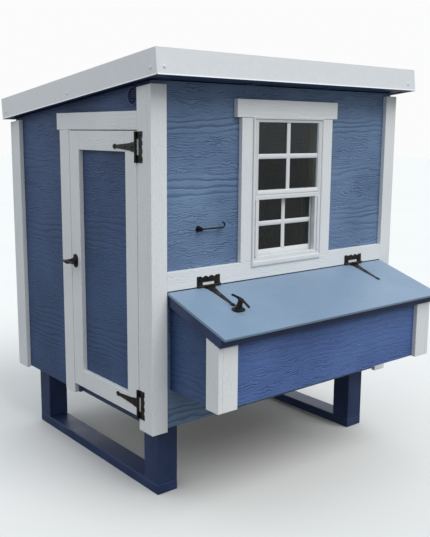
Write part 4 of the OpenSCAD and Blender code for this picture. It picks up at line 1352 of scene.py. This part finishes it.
@dataclass(frozen=True)
class SashWindow:
    """Vinyl single-hung window with stepped sections, bars, panes and insect mesh.

    Lengths are millimetres; a section is a closed loop of (share of the width
    from the outer edge, depth behind the trim's face).
    """

    frame_widths: tuple[float, float, float] = (14.0, 35.0, 8.0)
    back_widths: tuple[float, float, float] = (6.0, 10.0, 5.0)
    upper_widths: tuple[float, float, float] = (14.0, 34.0, 8.0)
    lower_widths: tuple[float, float, float] = (22.0, 30.0, 28.0)
    frame_section: tuple[Point, ...] = (
        (0, 18), (0, -4.4), (0.1, -6), (0.42, -6), (0.5, -5), (0.5, -2.6), (0.58, -1.8), (0.9, -1.8), (1, -0.6),
        (1, 18))
    upper_section: tuple[Point, ...] = (
        (0, 15), (0, -1.2), (0.06, -2), (0.4, -2), (0.44, 0.2), (0.52, 0.2), (0.56, -2), (0.84, -2), (1, 1.6),
        (1, 15))
    lower_section: tuple[Point, ...] = (
        (0, 35), (0, 22.8), (0.05, 22), (0.55, 22), (0.62, 23), (0.86, 24), (1, 26.5), (1, 35))
    stop_section: tuple[Point, ...] = (
        (0, 18), (0, -5), (0.8, -6), (9, -6), (10.6, -4.8), (10.6, -1.4), (12, -0.4), (19.6, -0.4), (21, 1.2),
        (21, 18))
    bar_section: tuple[Point, ...] = ((-9, 4), (-9, 2.4), (-5.2, 0), (5.2, 0), (9, 2.4), (9, 4))
    mesh_pitch: float = 1.7
    mesh_wire: float = 0.34

    def build(self, shop: Workshop) -> None:
        """Build the frame, both sashes, the panes and the mesh.

        Args:
            shop: Workshop that books the pieces.
        """
        self.build_frame(shop)
        self.build_sash(shop, "upper_sash", "upper_glass", self.upper_widths, self.upper_section, 2.0)
        self.build_sash(shop, "lower_sash", "lower_glass", self.lower_widths, self.lower_section, 23.0)
        for node in ("upper_glass", "lower_glass"):
            shop.dress(node, GLASS, Run.X)
        low, high = house_box("window_screen")
        mesh = shop.grow("window_screen_mesh", mesh_tree(), {
            "Corner": HOUSE.origin + Vector((low.x, low.y + 1, low.z)) * MM, "Width": (high.x - low.x) * MM,
            "Height": (high.z - low.z) * MM, "Pitch": self.mesh_pitch * MM, "Wire": self.mesh_wire * MM,
            "Finish": FIBRE.material()})
        shop.add("window_screen_mesh", mesh, FIBRE, "coop", "window_screen")

    def build_frame(self, shop: Workshop) -> None:
        """Draw the outer frame, its back and the two stops beside the lower sash.

        Args:
            shop: Workshop that books the pieces.
        """
        low, high = house_box("window_frame")
        upper, _ = house_box("upper_sash")
        bm = bmesh.new()
        mitred_ring(bm, (low.x, low.z), (high.x, high.z), self.frame_widths, self.frame_section)
        mitred_ring(bm, (low.x + 8, low.z + 14), (high.x - 8, high.z - 3), self.back_widths,
                    ((0, 18), (0, 40), (1, 40), (1, 18)))
        side, sill = self.frame_widths[:2]
        for edge, way in ((low.x + side, 1), (high.x - side, -1)):
            outline = [(edge + way * x, y) for x, y in self.stop_section]
            prism(bm, outline, low.z + sill, upper.z, Run.Z)
        shop.shape("window_frame_vinyl", bm, None, VINYL, "coop", "window_frame")

    def build_sash(self, shop: Workshop, node: str, glass: str, widths: tuple[float, float, float],
                   section: Sequence[Point], front: float) -> None:
        """Draw one sash and the two bars across its pane.

        Args:
            shop: Workshop that books the piece.
            node: Frame node of the sash.
            glass: Frame node of its pane, which the bars span.
            widths: Width of the sides, the sill and the head.
            section: Section of the sash.
            front: Depth of the bars' front face.
        """
        low, high = house_box(node)
        pane_low, pane_high = house_box(glass)
        bm = bmesh.new()
        mitred_ring(bm, (low.x, low.z), (high.x, high.z), widths, section)
        middle = (pane_low + pane_high) / 2
        prism(bm, [(middle.x + a, front + d) for a, d in self.bar_section], pane_low.z - 1,
              pane_high.z + 1, Run.Z)
        prism(bm, [(front + 0.15 + d, middle.z + a) for a, d in self.bar_section], pane_low.x - 1,
              pane_high.x + 1, Run.X)
        shop.shape(node + "_vinyl", bm, None, VINYL, body_of(node), node)


@dataclass(frozen=True)
class StayHook:
    """Wall hook that holds the open lid by its handle."""

    def build(self, shop: Workshop) -> None:
        """Round the bar's and the eye's edges."""
        shop.ease("stay_hook_eye", IRON, 0.4, Run.X, least=1.0)
        shop.ease("stay_hook", IRON, 0.3, Run.X, least=4.0)


@dataclass(frozen=True)
class RampDoor:
    """Hens' door that folds down as a ramp, with its casing, cleats and bolt."""

    board_arris: float = 1.6
    cleat_arris: float = 1.5

    def build(self, shop: Workshop) -> None:
        """Build the casing, the ramp's boards and the ironwork.

        Args:
            shop: Workshop that books the pieces.
        """
        shop.ease("ramp_casing", TRIM, self.board_arris)
        shop.ease("ramp_panel", SHADED_SIDE_SIDING, 1.0, Run.Y)
        shop.ease("ramp_hinge_straps", IRON, 0.5, Run.Z, least=2.0)
        for node in ("ramp_bolt_plate", "ramp_bolt", "ramp_bolt_keeper"):
            shop.ease(node, IRON, 0.4, Run.Y, least=1.6)
        PAN_SCREWS.build(shop, "ramp_screws")
        self.build_cleats(shop)

    def build_cleats(self, shop: Workshop) -> None:
        """Repeat one eased cleat up the ramp, as many as the frame has.

        Args:
            shop: Workshop that books the pieces.
        """
        bm = merged_copy("ramp_cleats")
        cleats = sorted(loose_parts(bm), key=lambda part: min(v.co.z for v in part))
        first = np.array([v.co for v in cleats[0]], float)
        last = np.array([v.co for v in cleats[-1]], float)
        count = len(cleats)
        bm.free()
        one = bmesh.new()
        bmesh.ops.create_cube(one, size=1.0)
        bmesh.ops.scale(one, vec=first.max(0) - first.min(0), verts=one.verts)
        bmesh.ops.bevel(one, geom=one.edges, offset=self.cleat_arris * MM, segments=2, profile=0.6,
                        affect="EDGES")
        mesh = bpy.data.meshes.new("one_cleat")
        one.to_mesh(mesh)
        one.free()
        pattern = bpy.data.objects.new("one_cleat", polished(mesh, "one_cleat"))
        bpy.context.scene.collection.objects.link(pattern)
        step = (last.min(0) - first.min(0)) / (count - 1)
        row = shop.grow("ramp_cleats_row", row_tree(), {
            "Piece": pattern, "Count": count, "Start": (first.min(0) + first.max(0)) / 2, "Step": step,
            "Finish": PINE.material(Run.Y)})
        bpy.data.objects.remove(pattern)
        shop.add("ramp_cleats_row", row, PINE, "ramp", "ramp_cleats")


# ---- Studio ----


@dataclass(frozen=True)
class Studio:
    """Pale floor, one broad soft light under a pale sky, and the camera off the front left corner."""

    eye: tuple[float, float, float] = (-1.9935, -2.4003, 1.2962)
    yaw: float = math.radians(38.89)
    pitch: float = math.radians(9.681)
    roll: float = math.radians(0.3756)
    lens: float = 50.10
    shift: Point = (0.0109, -0.0160)
    floor_radius: float = 40.0
    sky_low: float = 0.56
    sky_high: float = 1.2
    sky_seen: float = 1.0
    sky_toward: tuple[float, float, float] = (-0.1, 0.3, 0.95)
    sun_from: tuple[float, float, float] = (0.2, -0.8, 1.0)
    sun_power: float = 1.75
    sun_softness: float = math.radians(40)

    def build(self) -> None:
        """Lay the floor, hang the light, set the sky and place the camera."""
        self.build_floor()
        self.build_sun()
        self.build_sky()
        bpy.context.scene.view_settings.view_transform = "Standard"
        self.build_camera()

    def build_sun(self) -> None:
        """Hang one broad, soft light high over the front right."""
        light = bpy.data.lights.new("broad_light", "SUN")
        light.energy = self.sun_power
        light.angle = self.sun_softness
        lamp = bpy.data.objects.new("broad_light", light)
        lamp.rotation_euler = (-Vector(self.sun_from)).to_track_quat("-Z", "Y").to_euler()
        bpy.context.scene.collection.objects.link(lamp)

    def build_sky(self) -> None:
        """Set a sky that is brightest overhead, so that the sides stay in soft shade.

        The camera sees it as one pale tone, level with the floor's.
        """
        world = bpy.data.worlds.new("studio_sky")
        world.use_nodes = True
        tree = world.node_tree
        tree.nodes.clear()
        way = add_node(tree, "ShaderNodeTexCoord").outputs["Generated"]
        toward = Vector(self.sky_toward).normalized()
        facing = add_node(tree, "ShaderNodeVectorMath", {0: way, 1: toward}, operation="DOT_PRODUCT")
        lit = add_node(tree, "ShaderNodeMapRange", {0: facing.outputs["Value"], 1: -0.3, 2: 0.9,
                                                    3: self.sky_low, 4: self.sky_high},
                       interpolation_type="SMOOTHSTEP").outputs[0]
        looked_at = add_node(tree, "ShaderNodeLightPath").outputs["Is Camera Ray"]
        level = add_node(tree, "ShaderNodeMix", {0: looked_at, 2: lit, 3: self.sky_seen},
                         data_type="FLOAT").outputs[0]
        tint = add_node(tree, "ShaderNodeMix", {0: looked_at, 6: linear("#eef4f9"), 7: linear("#fbfcfb")},
                        data_type="RGBA").outputs[2]
        light = add_node(tree, "ShaderNodeBackground", {"Color": tint, "Strength": level})
        add_node(tree, "ShaderNodeOutputWorld", {"Surface": light.outputs[0]})
        bpy.context.scene.world = world

    def build_floor(self) -> None:
        """Lay a round sheet of paper under the coop."""
        bm = bmesh.new()
        bmesh.ops.create_circle(bm, cap_ends=True, segments=96, radius=self.floor_radius)
        mesh = bpy.data.meshes.new("studio_floor")
        bm.to_mesh(mesh)
        bm.free()
        mesh.materials.append(PAPER.material())
        floor = bpy.data.objects.new("studio_floor", mesh)
        bpy.context.scene.collection.objects.link(floor)

    def build_camera(self) -> None:
        """Place the camera, with its slight roll and shift."""
        forward = Vector((math.sin(self.yaw) * math.cos(self.pitch), math.cos(self.yaw) * math.cos(self.pitch),
                          -math.sin(self.pitch)))
        level = Vector((math.cos(self.yaw), -math.sin(self.yaw), 0.0))
        upright = level.cross(forward)
        right = level * math.cos(self.roll) + upright * math.sin(self.roll)
        up = upright * math.cos(self.roll) - level * math.sin(self.roll)
        data = bpy.data.cameras.new("view")
        data.lens = self.lens
        data.sensor_width = 36.0
        data.shift_x, data.shift_y = self.shift
        camera = bpy.data.objects.new("view", data)
        camera.matrix_world = Matrix.Translation(self.eye) @ Matrix((right, up, -forward)).transposed().to_4x4()
        bpy.context.scene.collection.objects.link(camera)
        bpy.context.scene.camera = camera


def main() -> None:
    """Build the sub-assemblies in order, then the studio round them."""
    logging.basicConfig(level=logging.INFO, format="%(message)s")
    shop = Workshop()
    for assembly in (Stand(), Cabin(), RoundVents(), Roof(), Hinges(), KeepersDoor(), NestBox(), NestLid(),
                     SashWindow(), StayHook(), RampDoor()):
        LOG.info("%s:", type(assembly).__name__)
        assembly.build(shop)
    Studio().build()
    LOG.info("%d pieces", len(shop.booked))


if __name__ == "__main__":
    main()
